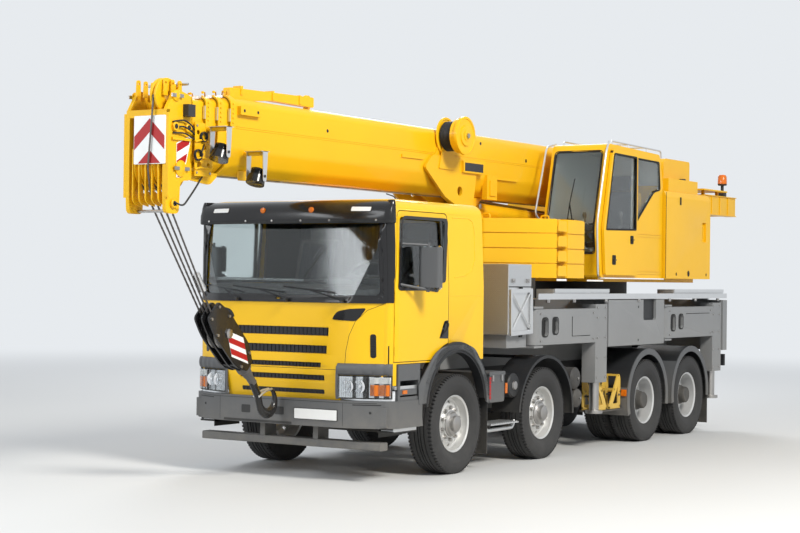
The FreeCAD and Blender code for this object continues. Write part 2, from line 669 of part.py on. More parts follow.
def jack(leg_front, leg_rear, side):
    middle = (leg_front + leg_rear) / 2
    leg = rod((BEAM_X, middle, FOOT_BOTTOM + 30), (BEAM_X, middle, 1670), JACK_RADIUS)
    foot = rod((BEAM_X, middle, FOOT_BOTTOM), (BEAM_X, middle, FOOT_BOTTOM + 40), FOOT_RADIUS)
    return sided(join(leg, foot), side)


def deck_rails():
    pieces = []
    for side in (1, -1):
        rail = prism([(1190, 1800), (1250, 1800), (1250, 1867), (1243, 1867), (1243, 1807), (1190, 1807)],
                     "y", (1700, 7310))
        plate = box((760, 1190), (1700, 7310), (1800, 1807))
        pieces.append(sided(join(rail, plate), side))
    # station and height of the ledge that each pair of feet stands on
    for station, ledge in ((1700, 1727), (3600, DECK_TOP), (5110, DECK_TOP), (7230, 1775)):
        for side in (1, -1):
            pieces.append(sided(box((770, 1000), (station, station + 60), (ledge, 1800)), side))
    left = join(*pieces[0::2])
    return group(left, mirrored(left))


SLAB_LEVELS = (2045, 2215, 2387, 2560, 2722)
SLAB_GROOVE = 10


def slab_outline(inset):
    wide = BODY_HALF_WIDTH - inset
    left = [(wide, 2880 - inset, 30), (wide, 2425), (wide - 70, 2395, 20), (wide - 70, 2185, 20),
            (wide, 2155), (560 - inset, 1640 + inset, 60)]
    right = [(-point[0],) + point[1:] for point in reversed(left)]
    return left + right


def ballast_plates():
    pieces = [prism(slab_outline(15), "z", (SLAB_LEVELS[0], SLAB_LEVELS[-1]))]
    for low, high in zip(SLAB_LEVELS, SLAB_LEVELS[1:]):
        pieces.append(prism(slab_outline(0), "z", (low, high - SLAB_GROOVE)))
    return join(*pieces)


# Superstructure

def turntable():
    """The slewing table with the two plates that carry the boom, and the frame behind them."""
    ring_part = rod((0, SLEW_STATION, DECK_TOP + FIT), (0, SLEW_STATION, TABLE_BOTTOM), 680)
    base = box((-1000, 1000), (3700, 6700), (TABLE_BOTTOM, 2060))
    plate = prism([(4700, 2060), (4900, 2700), (6450, 3600), (6560, 3640), (6950, 3640, 60), (7150, 3300),
                   (6700, 2060)], "x", (345, 385))
    pivot_pin = rod((-385, PIVOT[0], PIVOT[1]), (385, PIVOT[0], PIVOT[1]), 50)
    luff_pin = rod((-360, LUFF_BASE[0], LUFF_BASE[1]), (360, LUFF_BASE[0], LUFF_BASE[1]), 45)
    cross = box((-1050, 1050), (6950, 7050), (2900, 3230))
    arm = box((930, 1050), (6950, TAIL_REAR), (2970, 3230))
    beam = box((-1050, 1050), (TAIL_REAR - 120, TAIL_REAR), (2970, 3230))
    return join(ring_part, base, plate, mirrored(plate), pivot_pin, luff_pin, cross, arm, mirrored(arm), beam)


TABLE_TOP = 2060
CRANE_CAB_X = (450, BODY_HALF_WIDTH - 45)
CRANE_CAB_SIDE = ((3390, TABLE_TOP, 40), (3300, 2650, 400), (3560, 3690, 90), (5100, 3650, 60), (5200, 3300),
                  (5200, TABLE_TOP))
CRANE_DOOR_SIDE = ((3440, 2090, 30), (3385, 2640, 400), (3625, 3625, 60), (4345, 3610, 30), (4345, 2090, 30))
CRANE_DOOR_PANE = ((3445, 2640, 30), (3655, 3570, 40), (4300, 3560, 30), (4300, 2660, 30))
CRANE_REAR_PANE = ((4400, 2750, 30), (4400, 3560, 30), (5080, 3550, 40), (5120, 3200, 40), (4920, 3160, 40))
CRANE_FRONT_PANE = ((500, 2350, 60), (500, 3600, 60), (CRANE_CAB_X[1] - 55, 3600, 60),
                    (CRANE_CAB_X[1] - 55, 2350, 60))


def crane_cab_solid(inset):
    x = (CRANE_CAB_X[0] + inset, CRANE_CAB_X[1] - inset)
    side = prism(grown(CRANE_CAB_SIDE, -inset), "x", x)
    plan = prism([(x[0], 3290 + inset, 80), (x[0], 5210 - inset), (x[1], 5210 - inset), (x[1], 3290 + inset, 110)],
                 "z", (2000, 3750))
    return side.common(plan)


def crane_cab():
    shell = crane_cab_solid(0).cut(crane_cab_solid(40))
    shell = shell.cut(prism(grown(CRANE_DOOR_SIDE, -30), "x", (CRANE_CAB_X[1] - 60, CRANE_CAB_X[1] + 10)))
    shell = shell.cut(prism(CRANE_REAR_PANE, "x", (CRANE_CAB_X[1] - 60, CRANE_CAB_X[1] + 10)))
    shell = shell.cut(prism(CRANE_FRONT_PANE, "y", (3200, 3800)))
    seat = join(box((600, 1050), (4300, 4800), (2099, 2450)), box((600, 1050), (4720, 4850), (2400, 3150)))
    # Runners for the sliding door
    runners = [box((CRANE_CAB_X[1] - 1, CRANE_CAB_X[1] + RUN_GAP - FIT), (3500, 5190), (low, low + 30))
               for low in (2110, 2580)]
    return join(shell, seat, *runners)


def crane_cab_glass():
    layer = crane_cab_solid(10).cut(crane_cab_solid(10 + GLASS))
    front = layer.common(prism(grown(CRANE_FRONT_PANE, -FIT), "y", (3200, 3800)))
    rear = layer.common(prism(grown(CRANE_REAR_PANE, -FIT), "x", (CRANE_CAB_X[1] - 60, CRANE_CAB_X[1] + 10)))
    return group(front, rear)


def crane_door():
    x = (CRANE_CAB_X[1] + RUN_GAP, BODY_HALF_WIDTH)
    panel = prism(CRANE_DOOR_SIDE, "x", x).cut(prism(CRANE_DOOR_PANE, "x", (x[0] - 1, x[1] + 1)))
    pane = prism(grown(CRANE_DOOR_PANE, -FIT), "x", (x[0] + 15, x[0] + 15 + GLASS))
    return group(panel, pane)


def machine_housing():
    left = prism([(450, TABLE_TOP), (450, 3200), (BODY_HALF_WIDTH - 40, 3200, 30), (BODY_HALF_WIDTH, 3120, 60),
                  (BODY_HALF_WIDTH, TABLE_TOP)], "y", (5225, 6710))
    left = left.cut(box((BODY_HALF_WIDTH - 30, BODY_HALF_WIDTH + 1), (6430, 6560), (2560, 2820)))
    cap = box((480, BODY_HALF_WIDTH - 70), (5445, 6420), (3199, 3372))
    tall = prism([(5690, 3371), (5690, 3600, 40), (5760, 3655, 40), (6560, 3655, 40), (6560, 3371)], "x", (600, 990))
    right = box((-BODY_HALF_WIDTH, -450), (4900, 6710), (TABLE_TOP, 2900))
    winch_cover = prism([(5300, 2899), (5300, 3080, 80), (6500, 3080, 80), (6500, 2899)], "x", (-1150, -520))
    return group(join(left, cap, tall), join(right, winch_cover))


# Boom

def boom_outline(inset):
    right = [(half - inset, height + share * inset) for half, height, share in BOOM_FOLDS]
    return right + [(-half, height) for half, height in reversed(right)]


def boom_walls(number):
    """The plates of one section, one for each side of its outline, with the collar at its mouth.

    The collar stands out round the mouth, and inside it guides the next section.
    """
    inset = number * BOOM_STEP
    mouth = COLLAR_STATIONS[number]
    outer = boom_outline(inset)
    inner = boom_outline(inset + BOOM_WALL)
    lip = boom_outline(inset - COLLAR_PROUD)
    guide = boom_outline(inset + BOOM_STEP - FIT)
    walls = []
    for k in range(len(outer)):
        after = (k + 1) % len(outer)
        wall = prism([outer[k], outer[after], inner[after], inner[k]], "y", (mouth, BOOM_REAR - 100 * number))
        if number < 3:
            wall = join(wall, prism([lip[k], lip[after], guide[after], guide[k]], "y",
                                    (mouth, mouth + COLLAR_LENGTH)))
        walls.append(wall)
    return walls


def outside_boom(shape, start, end):
    return shape.cut(prism(boom_outline(0), "y", (start, end)))


REEL = (1196, 3618)
REEL_RADIUS = 215


def boom_base():
    tail = prism([(BOOM_REAR, BOOM_BOTTOM), (BOOM_REAR, BOOM_TOP), (PIVOT[0] + 60, PIVOT[1] + 130, 60),
                  (PIVOT[0] + 130, PIVOT[1], 60), (PIVOT[0] + 60, PIVOT[1] - 130, 60)], "x",
                 (-BOOM_HALF_WIDTH, BOOM_HALF_WIDTH))
    tail = tail.cut(rod((-400, PIVOT[0], PIVOT[1]), (400, PIVOT[0], PIVOT[1]), 50 + FIT))
    # The luffing cylinder's rod eye sits between two ears that are open below
    ear = outside_boom(prism([(1400, 2990), (2350, 2990), (LUFF_PIN[0] + 90, LUFF_PIN[1] - 80, 90),
                              (LUFF_PIN[0] - 90, LUFF_PIN[1] - 80, 90)], "x", EAR_X), 1300, 2450)
    # Plates on both flanks spread the cylinder's force, and a web ties each to its ear
    flank = prism([(900, 3400, 60), (740, 3250, 60), (1180, 2940), (1500, 2830, 80), (1800, 2830, 60), (1870, 3210),
                   (2080, 3335, 40), (2080, 3400, 30)], "x", (BOOM_HALF_WIDTH, BOOM_HALF_WIDTH + 32))
    web = box((EAR_X[1], BOOM_HALF_WIDTH), (1520, 1800), (2850, 2875))
    post = outside_boom(box((BOOM_HALF_WIDTH - 60, BOOM_HALF_WIDTH + 22), (2145, 2385), (2945, 3240)), 2100, 2450)
    stay = outside_boom(box((BOOM_HALF_WIDTH - 20, BOOM_HALF_WIDTH + 62), (2085, 2145), (3235, 3370)), 2000, 2200)
    lug = box((BOOM_HALF_WIDTH, BOOM_HALF_WIDTH + 45), (-2585, -2268), (3535, 3615))
    top_arm = prism([(-2563, BOOM_TOP), (-2563, 3802), (-1192, 3833), (-1192, 3730), (-1900, 3735), (-2300, BOOM_TOP)],
                    "x", (110, 190))
    pieces = boom_walls(0) + [tail, stay, top_arm]
    for part in (ear, flank, web, post, lug):
        pieces += [part, mirrored(part)]
    # Cable reel on the left flank's plate
    station, height = REEL
    wide = BOOM_HALF_WIDTH
    reel = [rod((wide, station, height), (wide + 290, station, height), 60),
            rod((wide + 15, station, height), (wide + 275, station, height), 165),
            rod((wide + 12, station, height), (wide + 32, station, height), REEL_RADIUS),
            rod((wide + 245, station, height), (wide + 285, station, height), REEL_RADIUS)]
    return group(*pieces, join(*reel))


def boom_section(number):
    return group(*boom_walls(number))


SHEAVES = 4
SHEAVE_PITCH = 75
ROPE_RADIUS = 9
ROPE_REACH = SHEAVE_RADIUS - 20


def sheave_x(number):
    return (number - (SHEAVES - 1) / 2) * SHEAVE_PITCH


CHEEK_X = (195, 235)
TOP_AXLE = (-3400, 3640)
TOP_SHEAVE = 165


def boom_head():
    """The innermost section with the plates and sheaves of the boom's head."""
    mouth = COLLAR_STATIONS[3]
    cheek = prism([(mouth, 2890), (mouth, 3640), (-3225, 3665, 60), (-3400, 3706, 60), (-3530, 3500),
                   (-3530, 2760, 60), (-3520, 2575, 60), (-3340, 2575, 60), (-3325, 2870, 60)], "x", CHEEK_X)
    flange = prism([(mouth, 2890), (-2960, 2866, 30), (-2885, 2862, 30), (-2790, 2935), (-2790, 2965),
                    (mouth, 2965)], "x", CHEEK_X)
    bulkhead = box((-CHEEK_X[1], CHEEK_X[1]), (mouth - 20, mouth), (3140, 3620))
    plate = box((-127, CHEEK_X[1]), (HEAD_FRONT, HEAD_FRONT + 12), (3018, 3455))
    holder = box((-CHEEK_X[1], CHEEK_X[1]), (HEAD_FRONT + 11, HEAD_FRONT + 60), (3440, 3510))
    pieces = [cheek, mirrored(cheek), bulkhead, plate, holder,
              rod((-CHEEK_X[1], HEAD_AXLE[0], HEAD_AXLE[1]), (CHEEK_X[1], HEAD_AXLE[0], HEAD_AXLE[1]), 45)]
    for number in range(SHEAVES):
        centre = sheave_x(number)
        pieces.append(ring([(centre - 30, SHEAVE_RADIUS), (centre - 6, SHEAVE_RADIUS - 30),
                            (centre + 6, SHEAVE_RADIUS - 30), (centre + 30, SHEAVE_RADIUS), (centre + 30, 30),
                            (centre - 30, 30)], 16, HEAD_AXLE[0], HEAD_AXLE[1]))
    station, height = TOP_AXLE
    top = ring([(62, TOP_SHEAVE), (92, TOP_SHEAVE - 26), (108, TOP_SHEAVE - 26), (138, TOP_SHEAVE), (138, 15),
                (62, 15)], 20, station, height)
    pieces += [top, rod((-CHEEK_X[1], station, height), (CHEEK_X[1], station, height), 30)]
    return group(*boom_walls(3), join(*pieces), flange, mirrored(flange))


HOOK_TOP = (-2640, 1700)
HOOK_TIP = (-1560, 650)


def hook_block():
    """Taut ropes with the hook block, pulled back to the bumper for the road."""
    pieces = []
    # Each rope leaves the groove of its sheave on the rear side, square to the sheave's radius
    run = (HOOK_TOP[0] - HEAD_AXLE[0], HOOK_TOP[1] - HEAD_AXLE[1])
    slope = math.atan2(-run[1], run[0])
    start = (HEAD_AXLE[0] - ROPE_REACH * math.sin(slope), HEAD_AXLE[1] - ROPE_REACH * math.cos(slope))
    for number in range(SHEAVES):
        x = sheave_x(number)
        pieces.append(rod((x, start[0], start[1]), (x * 0.6, HOOK_TOP[0] - 60, HOOK_TOP[1] - 90), ROPE_RADIUS))
    length = math.hypot(HOOK_TIP[0] - HOOK_TOP[0], HOOK_TOP[1] - HOOK_TIP[1])
    block = prism([(-110, 0, 40), (-160, -200, 40), (-150, -640, 60), (-60, -800, 30), (60, -800, 30),
                   (150, -640, 60), (160, -200, 40), (110, 0, 40)], "x", (-90, 90))
    shank = rod((0, 0, -790), (0, 0, -length + 330), 42)
    bow = rod((-35, 30, -length + 170), (35, 30, -length + 170), 170)
    bow = bow.cut(rod((-60, 50, -length + 180), (60, 50, -length + 180), 95))
    bow = bow.cut(box((-60, 60), (60, 260), (-length + 180, -length + 400)))
    block = join(block, shank, bow)
    slant = math.degrees(math.atan2(HOOK_TIP[0] - HOOK_TOP[0], HOOK_TOP[1] - HOOK_TIP[1]))
    block.rotate(vec(0, 0, 0), vec(1, 0, 0), slant)
    block.translate(vec(0, HOOK_TOP[0], HOOK_TOP[1]))
    return join(block, *pieces)


def along_luff(distance, height=0):
    """A point on the luffing cylinder's line, at a distance from its base pin."""
    length = math.hypot(LUFF_PIN[0] - LUFF_BASE[0], LUFF_PIN[1] - LUFF_BASE[1])
    share = distance / length
    return (0, LUFF_BASE[0] + (LUFF_PIN[0] - LUFF_BASE[0]) * share,
            LUFF_BASE[1] + (LUFF_PIN[1] - LUFF_BASE[1]) * share + height)


# What shows of the rod when the cylinder is drawn in
ROD_SHOWN = 360
BARREL_LENGTH = math.hypot(LUFF_PIN[0] - LUFF_BASE[0], LUFF_PIN[1] - LUFF_BASE[1]) - ROD_SHOWN


def luff_barrel():
    barrel = rod(along_luff(90), along_luff(BARREL_LENGTH), BARREL_RADIUS)
    base = rod((-100, LUFF_BASE[0], LUFF_BASE[1]), (100, LUFF_BASE[0], LUFF_BASE[1]), 100)
    shape = join(barrel, base)
    shape = shape.cut(rod(along_luff(300), along_luff(BARREL_LENGTH + 50), ROD_RADIUS + FIT))
    return shape.cut(rod((-200, LUFF_BASE[0], LUFF_BASE[1]), (200, LUFF_BASE[0], LUFF_BASE[1]), 45 + FIT))


def luff_rod():
    length = math.hypot(LUFF_PIN[0] - LUFF_BASE[0], LUFF_PIN[1] - LUFF_BASE[1])
    bar = rod(along_luff(350), along_luff(length), ROD_RADIUS)
    eye = rod((-95, LUFF_PIN[0], LUFF_PIN[1]), (95, LUFF_PIN[0], LUFF_PIN[1]), 80)
    return join(bar, eye)


def nodes():
    """Each node's name and shape."""
    named = {
        "chassis_frame": chassis_frame(),
        "axles": axles(),
        "engine_block": engine_block(),
        "driver_cab": driver_cab(),
        "cab_glass": cab_glass(),
        "cab_interior": cab_interior(),
        "front_bumper": front_bumper(),
        "headlamps": headlamps(),
        "sun_visor": sun_visor(),
        "mudguards": mudguards(),
        "tanks": tanks(),
        "tool_box": tool_box(),
        "crane_subframe": crane_subframe(),
        "deck_rails": deck_rails(),
        "ballast_plates": ballast_plates(),
        "turntable": turntable(),
        "crane_cab": crane_cab(),
        "crane_cab_glass": crane_cab_glass(),
        "crane_door": crane_door(),
        "machine_housing": machine_housing(),
        "boom_base": boom_base(),
        "boom_section_1": boom_section(1),
        "boom_section_2": boom_section(2),
        "boom_head": boom_head(),
        "hook_block": hook_block(),
        "luff_barrel": luff_barrel(),
        "luff_rod": luff_rod(),
    }
    for name, side in SIDES:
        named[f"door_{name}"] = door(side)
        named[f"mirror_{name}"] = mirror(side)
        for axle in range(4):
            named[f"tyre_{axle + 1}_{name}"] = tyre(axle, side)
            named[f"rim_{axle + 1}_{name}"] = rim(axle, side)
        for axle in range(2):
            named[f"knuckle_{axle + 1}_{name}"] = knuckle(AXLE_STATIONS[axle], side)
        for end, pivot, leg_front, leg_rear in OUTRIGGERS:
            named[f"outrigger_{end}_{name}"] = outrigger(pivot, leg_front, leg_rear, side)
            named[f"jack_{end}_{name}"] = jack(leg_front, leg_rear, side)
    return named


os.makedirs("parts", exist_ok=True)
for node, shape in nodes().items():
    shape.translate(vec(0, -ORIGIN_STATION, 0))
    shape.exportStep(f"parts/{node}.step")
    size = shape.BoundBox
    print(f"{node}: {len(shape.Solids)} solids, valid {shape.isValid()}, {shape.Volume / 1e9:.3f} m3,"
          f" y {size.YMin:.0f} to {size.YMax:.0f}, z {size.ZMin:.0f} to {size.ZMax:.0f}")
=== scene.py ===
# %% [markdown]
# # A four-axle truck crane
# The vehicle is a truck with two steered axles and two driven axles with twin wheels. A crane with a
# four-section telescopic boom stands on it, and the boom lies over the driver's cab for the road.
# The frame below holds every solid that moves or carries load. This lesson dresses it: paint, glass,
# rubber, tread, bolts, rails and the small fittings that make it look like a real machine.
# Lengths are in metres. X points to the vehicle's left, Y to its rear and Z up.

# %% Load the frame
import json
import math

import bmesh
import bpy
from mathutils import Matrix, Vector

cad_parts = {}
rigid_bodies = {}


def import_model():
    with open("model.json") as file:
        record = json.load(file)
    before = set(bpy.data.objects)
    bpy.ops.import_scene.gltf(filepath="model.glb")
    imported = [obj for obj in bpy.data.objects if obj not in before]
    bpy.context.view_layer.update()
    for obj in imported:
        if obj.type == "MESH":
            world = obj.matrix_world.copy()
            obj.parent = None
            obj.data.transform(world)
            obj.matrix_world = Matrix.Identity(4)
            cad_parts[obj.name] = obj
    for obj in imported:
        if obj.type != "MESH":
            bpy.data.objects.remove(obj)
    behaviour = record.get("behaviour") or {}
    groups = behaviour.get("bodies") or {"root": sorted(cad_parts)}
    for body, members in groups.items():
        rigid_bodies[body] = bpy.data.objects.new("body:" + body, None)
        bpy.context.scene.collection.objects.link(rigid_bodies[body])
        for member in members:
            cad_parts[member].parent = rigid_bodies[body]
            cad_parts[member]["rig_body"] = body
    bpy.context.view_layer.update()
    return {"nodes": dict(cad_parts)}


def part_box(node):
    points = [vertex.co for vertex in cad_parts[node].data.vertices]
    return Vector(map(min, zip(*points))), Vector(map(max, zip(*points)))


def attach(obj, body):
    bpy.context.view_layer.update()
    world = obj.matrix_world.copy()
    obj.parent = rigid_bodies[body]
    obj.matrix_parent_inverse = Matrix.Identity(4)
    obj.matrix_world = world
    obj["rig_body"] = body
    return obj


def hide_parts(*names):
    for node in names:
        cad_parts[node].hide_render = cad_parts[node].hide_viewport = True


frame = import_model()
cad_nodes = frame["nodes"]
body_of_node = {name: node["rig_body"] for name, node in cad_nodes.items()}

# %% [markdown]
# ## Stations
# A truck's drawings measure along its length from the first axle, and these distances are called
# stations. The frame's origin lies further back, at the middle of the whole machine. One helper turns
# a station into the frame's Y, so that every number below can be read on the drawing.

# %% Stations
MIDDLE_STATION = 2.28
AXLE_STATIONS = (0.0, 1.94, 4.7, 6.055)
HUB_HEIGHT = 0.5175
SIDES = (("left", 1), ("right", -1))


def spot(x, station, z):
    return Vector((x, station - MIDDLE_STATION, z))


# %% [markdown]
# ## The camera
# The picture was taken from the left front, a little above the headlamps, with a long lens. The place
# and the angles come from lining up about forty points of the vehicle. The roll is under one degree,
# but without it the bumper would not slope as it does.

# %% Camera
CAMERA_SPOT = (10.2584, -15.3925, 2.0069)
CAMERA_YAW = math.radians(32.4021)
CAMERA_PITCH = math.radians(0.4307)
CAMERA_ROLL = math.radians(0.6941)
FOCAL_PIXELS = 1721.197
IMAGE_WIDTH = 800

flat = math.cos(CAMERA_PITCH)
forward = Vector((-math.sin(CAMERA_YAW) * flat, math.cos(CAMERA_YAW) * flat, math.sin(CAMERA_PITCH)))
level = Vector((math.cos(CAMERA_YAW), math.sin(CAMERA_YAW), 0))
upward = level.cross(forward)
right_hand = math.cos(CAMERA_ROLL) * level + math.sin(CAMERA_ROLL) * upward
head_up = -math.sin(CAMERA_ROLL) * level + math.cos(CAMERA_ROLL) * upward
lens = bpy.data.cameras.new("camera")
lens.sensor_width = 36
lens.lens = FOCAL_PIXELS * lens.sensor_width / IMAGE_WIDTH
lens.clip_end = 200
camera = bpy.data.objects.new("camera", lens)
bpy.context.scene.collection.objects.link(camera)
turn = Matrix((right_hand, head_up, -forward)).transposed().to_4x4()
camera.matrix_world = Matrix.Translation(spot(*CAMERA_SPOT)) @ turn
bpy.context.scene.camera = camera
bpy.context.scene.view_settings.view_transform = "Standard"
print("lens", round(lens.lens, 2), "mm")

# %% [markdown]
# ## Node helpers
# Light, finishes and Geometry Nodes are all trees of nodes. These helpers add a node with its settings,
# feed a socket from a value or from another node, and give sums, mixed colours and noise in one line.

# %% Node helpers
def new_node(tree, kind, **settings):
    node = tree.nodes.new(kind)
    for key, value in settings.items():
        setattr(node, key, value)
    return node


def wire(tree, value, socket):
    if isinstance(value, bpy.types.NodeSocket):
        tree.links.new(value, socket)
    else:
        socket.default_value = value


def maths(tree, operation, first, second=0.0, clamp=False):
    node = new_node(tree, "ShaderNodeMath", operation=operation, use_clamp=clamp)
    wire(tree, first, node.inputs[0])
    wire(tree, second, node.inputs[1])
    return node.outputs[0]


def mixed(tree, share, first, second):
    node = new_node(tree, "ShaderNodeMix", data_type="RGBA")
    wire(tree, share, node.inputs[0])
    wire(tree, first, node.inputs[6])
    wire(tree, second, node.inputs[7])
    return node.outputs[2]


def noise(tree, place, scale, detail=3.0, roughness=0.5):
    node = new_node(tree, "ShaderNodeTexNoise")
    wire(tree, place, node.inputs["Vector"])
    wire(tree, scale, node.inputs["Scale"])
    wire(tree, detail, node.inputs["Detail"])
    wire(tree, roughness, node.inputs["Roughness"])
    return node.outputs["Fac"]


# %% [markdown]
# ## Floor and light
# Yellow paint shows its form by soft gradients, so the light comes from large area lamps. The key lamp
# stands to the vehicle's left and high up, as the sun does in the picture, so the left side is bright
# and the front is a tone deeper. The world gives a plain grey-white fill.

# %% Floor and light
BACKDROP = (0.8, 0.83, 0.86, 1)
world = bpy.data.worlds.new("studio")
bpy.context.scene.world = world
world.use_nodes = True
sky = world.node_tree.nodes["Background"]
sky.inputs["Color"].default_value = (0.86, 0.92, 1.0, 1)
sky.inputs["Strength"].default_value = 0.52
backdrop = world.node_tree.nodes.new("ShaderNodeBackground")
backdrop.inputs["Color"].default_value = BACKDROP
chooser = world.node_tree.nodes.new("ShaderNodeMixShader")


def backdrop_rays(tree):
    """One where the camera, a mirror or a pane looks at the backdrop, and none for light on the object."""
    rays = new_node(tree, "ShaderNodeLightPath").outputs
    value = rays["Is Camera Ray"]
    for kind in ("Is Glossy Ray", "Is Transmission Ray"):
        value = maths(tree, "MAXIMUM", value, rays[kind])
    return value


world.node_tree.links.new(backdrop_rays(world.node_tree), chooser.inputs["Fac"])
world.node_tree.links.new(sky.outputs[0], chooser.inputs[1])
world.node_tree.links.new(backdrop.outputs[0], chooser.inputs[2])
world.node_tree.links.new(chooser.outputs[0], world.node_tree.nodes["World Output"].inputs["Surface"])


def lamp(name, place, target, size, power, colour):
    light = bpy.data.lights.new(name, "AREA")
    light.shape = "DISK"
    light.size = size
    light.energy = power
    light.color = colour
    thing = bpy.data.objects.new(name, light)
    bpy.context.scene.collection.objects.link(thing)
    thing.location = place
    thing.rotation_euler = (Vector(target) - Vector(place)).to_track_quat("-Z", "Y").to_euler()


lamp("key_lamp", (14, -7, 13), (0, 0, 1.5), 5, 3500, (1.0, 0.97, 0.91))
lamp("front_lamp", (-5, -17, 8), (0, -3, 1.5), 8, 1100, (0.94, 0.97, 1.0))
lamp("rear_lamp", (-9, 14, 12), (0, 2, 2), 7, 1300, (0.95, 0.97, 1.0))

bpy.ops.mesh.primitive_plane_add(size=160)
floor = bpy.context.object
floor.name = "floor"
floor_finish = bpy.data.materials.new("pale_floor")
floor_finish.use_nodes = True
floor_tree = floor_finish.node_tree
floor_shader = floor_tree.nodes["Principled BSDF"]
floor_shader.inputs["Base Color"].default_value = (0.62, 0.62, 0.61, 1)
floor_shader.inputs["Roughness"].default_value = 0.75
# Far from the vehicle the floor takes the backdrop's colour, so there is no dark line at the horizon
far = floor_tree.nodes.new("ShaderNodeMapRange")
far.interpolation_type = "SMOOTHSTEP"
far.inputs["From Min"].default_value = 9
far.inputs["From Max"].default_value = 30
distance = floor_tree.nodes.new("ShaderNodeVectorMath")
distance.operation = "LENGTH"
floor_tree.links.new(floor_tree.nodes.new("ShaderNodeTexCoord").outputs["Object"], distance.inputs[0])
floor_tree.links.new(distance.outputs["Value"], far.inputs["Value"])
seen = maths(floor_tree, "MULTIPLY", far.outputs[0], backdrop_rays(floor_tree))
haze = floor_tree.nodes.new("ShaderNodeEmission")
haze.inputs["Color"].default_value = BACKDROP
blend = floor_tree.nodes.new("ShaderNodeMixShader")
floor_tree.links.new(seen, blend.inputs["Fac"])
floor_tree.links.new(floor_shader.outputs[0], blend.inputs[1])
floor_tree.links.new(haze.outputs[0], blend.inputs[2])
floor_tree.links.new(blend.outputs[0], floor_tree.nodes["Material Output"].inputs["Surface"])
floor.data.materials.append(floor_finish)

# %% [markdown]
# ## One group for age and dirt
# A machine on the road is never one flat colour. Broad patches differ a little in tone, road dust
# settles low down, and the surface has a fine grain. All the finishes need that, so it is one shader
# group with named inputs, placed in each material with its own numbers.

# %% Weathering group
WEATHER_INPUTS = (
    # input, kind and value when nothing else is given
    ("Colour", "NodeSocketColor", (0.8, 0.8, 0.8, 1)),
    ("Dust Colour", "NodeSocketColor", (0.3, 0.27, 0.22, 1)),
    ("Dust Top", "NodeSocketFloat", 1.0),
    ("Dust", "NodeSocketFloat", 0.3),
    ("Tone", "NodeSocketFloat", 0.08),
    ("Roughness", "NodeSocketFloat", 0.4),
    ("Grain Scale", "NodeSocketFloat", 300.0),
)
weather = bpy.data.node_groups.new("weathering", "ShaderNodeTree")
for title, kind, value in WEATHER_INPUTS:
    weather.interface.new_socket(name=title, in_out="INPUT", socket_type=kind).default_value = value
for title, kind in (("Colour", "NodeSocketColor"), ("Roughness", "NodeSocketFloat"),
        ("Height", "NodeSocketFloat")):
    weather.interface.new_socket(name=title, in_out="OUTPUT", socket_type=kind)
entry = new_node(weather, "NodeGroupInput").outputs
exit_node = new_node(weather, "NodeGroupOutput").inputs
place = new_node(weather, "ShaderNodeTexCoord").outputs["Object"]
height = new_node(weather, "ShaderNodeSeparateXYZ")
weather.links.new(place, height.inputs[0])
patches = noise(weather, place, 1.7, 4.0)
specks = noise(weather, place, 9.0, 6.0, 0.65)
tone = maths(weather, "MULTIPLY_ADD", maths(weather, "SUBTRACT", patches, 0.5), entry["Tone"])
tone.node.inputs[2].default_value = 1.0
toned = new_node(weather, "ShaderNodeVectorMath", operation="SCALE")
weather.links.new(entry["Colour"], toned.inputs[0])
weather.links.new(tone, toned.inputs["Scale"])
low = maths(weather, "SUBTRACT", 1.0, maths(weather, "DIVIDE", height.outputs["Z"], entry["Dust Top"]),
    True)
patchy = maths(weather, "MULTIPLY", low, maths(weather, "MULTIPLY", specks, 1.9))
dust = maths(weather, "MULTIPLY", patchy, entry["Dust"], True)
weather.links.new(mixed(weather, dust, toned.outputs[0], entry["Dust Colour"]), exit_node["Colour"])
worn = maths(weather, "ADD", entry["Roughness"], maths(weather, "MULTIPLY", dust, 0.45))
varied = maths(weather, "ADD", worn, maths(weather, "MULTIPLY", maths(weather, "SUBTRACT", specks, 0.5),
    0.12), True)
weather.links.new(varied, exit_node["Roughness"])
weather.links.new(noise(weather, place, entry["Grain Scale"], 2.0), exit_node["Height"])
print("weathering group with", len(weather.nodes), "nodes")

# %% [markdown]
# ## Finishes
# Each finish below is that group in front of a Principled shader. Crane paint has a clear coat, chassis
# paint is duller, and moulded plastic has a coarse grain. Values that are the same all over sit on the
# shader's own sockets.

# %% Finish helper
def finish(name, colour, roughness=0.4, metal=0.0, coat=0.0, dust=0.3, dust_top=1.1, tone=0.08, grain=300.0,
        bump=0.02, depth=0.001, dust_colour=(0.3, 0.27, 0.22), shine=0.5):
    material = bpy.data.materials.new(name)
    material.use_nodes = True
    tree = material.node_tree
    shader = tree.nodes["Principled BSDF"]
    group = new_node(tree, "ShaderNodeGroup", node_tree=weather)
    for title, value in (("Colour", (*colour, 1)), ("Dust Colour", (*dust_colour, 1)),
            ("Dust Top", dust_top), ("Dust", dust), ("Tone", tone), ("Roughness", roughness),
            ("Grain Scale", grain)):
        group.inputs[title].default_value = value
    tree.links.new(group.outputs["Colour"], shader.inputs["Base Color"])
    tree.links.new(group.outputs["Roughness"], shader.inputs["Roughness"])
    relief = new_node(tree, "ShaderNodeBump")
    relief.inputs["Strength"].default_value = bump
    relief.inputs["Distance"].default_value = depth
    tree.links.new(group.outputs["Height"], relief.inputs["Height"])
    tree.links.new(relief.outputs["Normal"], shader.inputs["Normal"])
    shader.inputs["Metallic"].default_value = metal
    shader.inputs["Coat Weight"].default_value = coat
    shader.inputs["Specular IOR Level"].default_value = shine
    shader.inputs["Coat Roughness"].default_value = 0.06
    return material


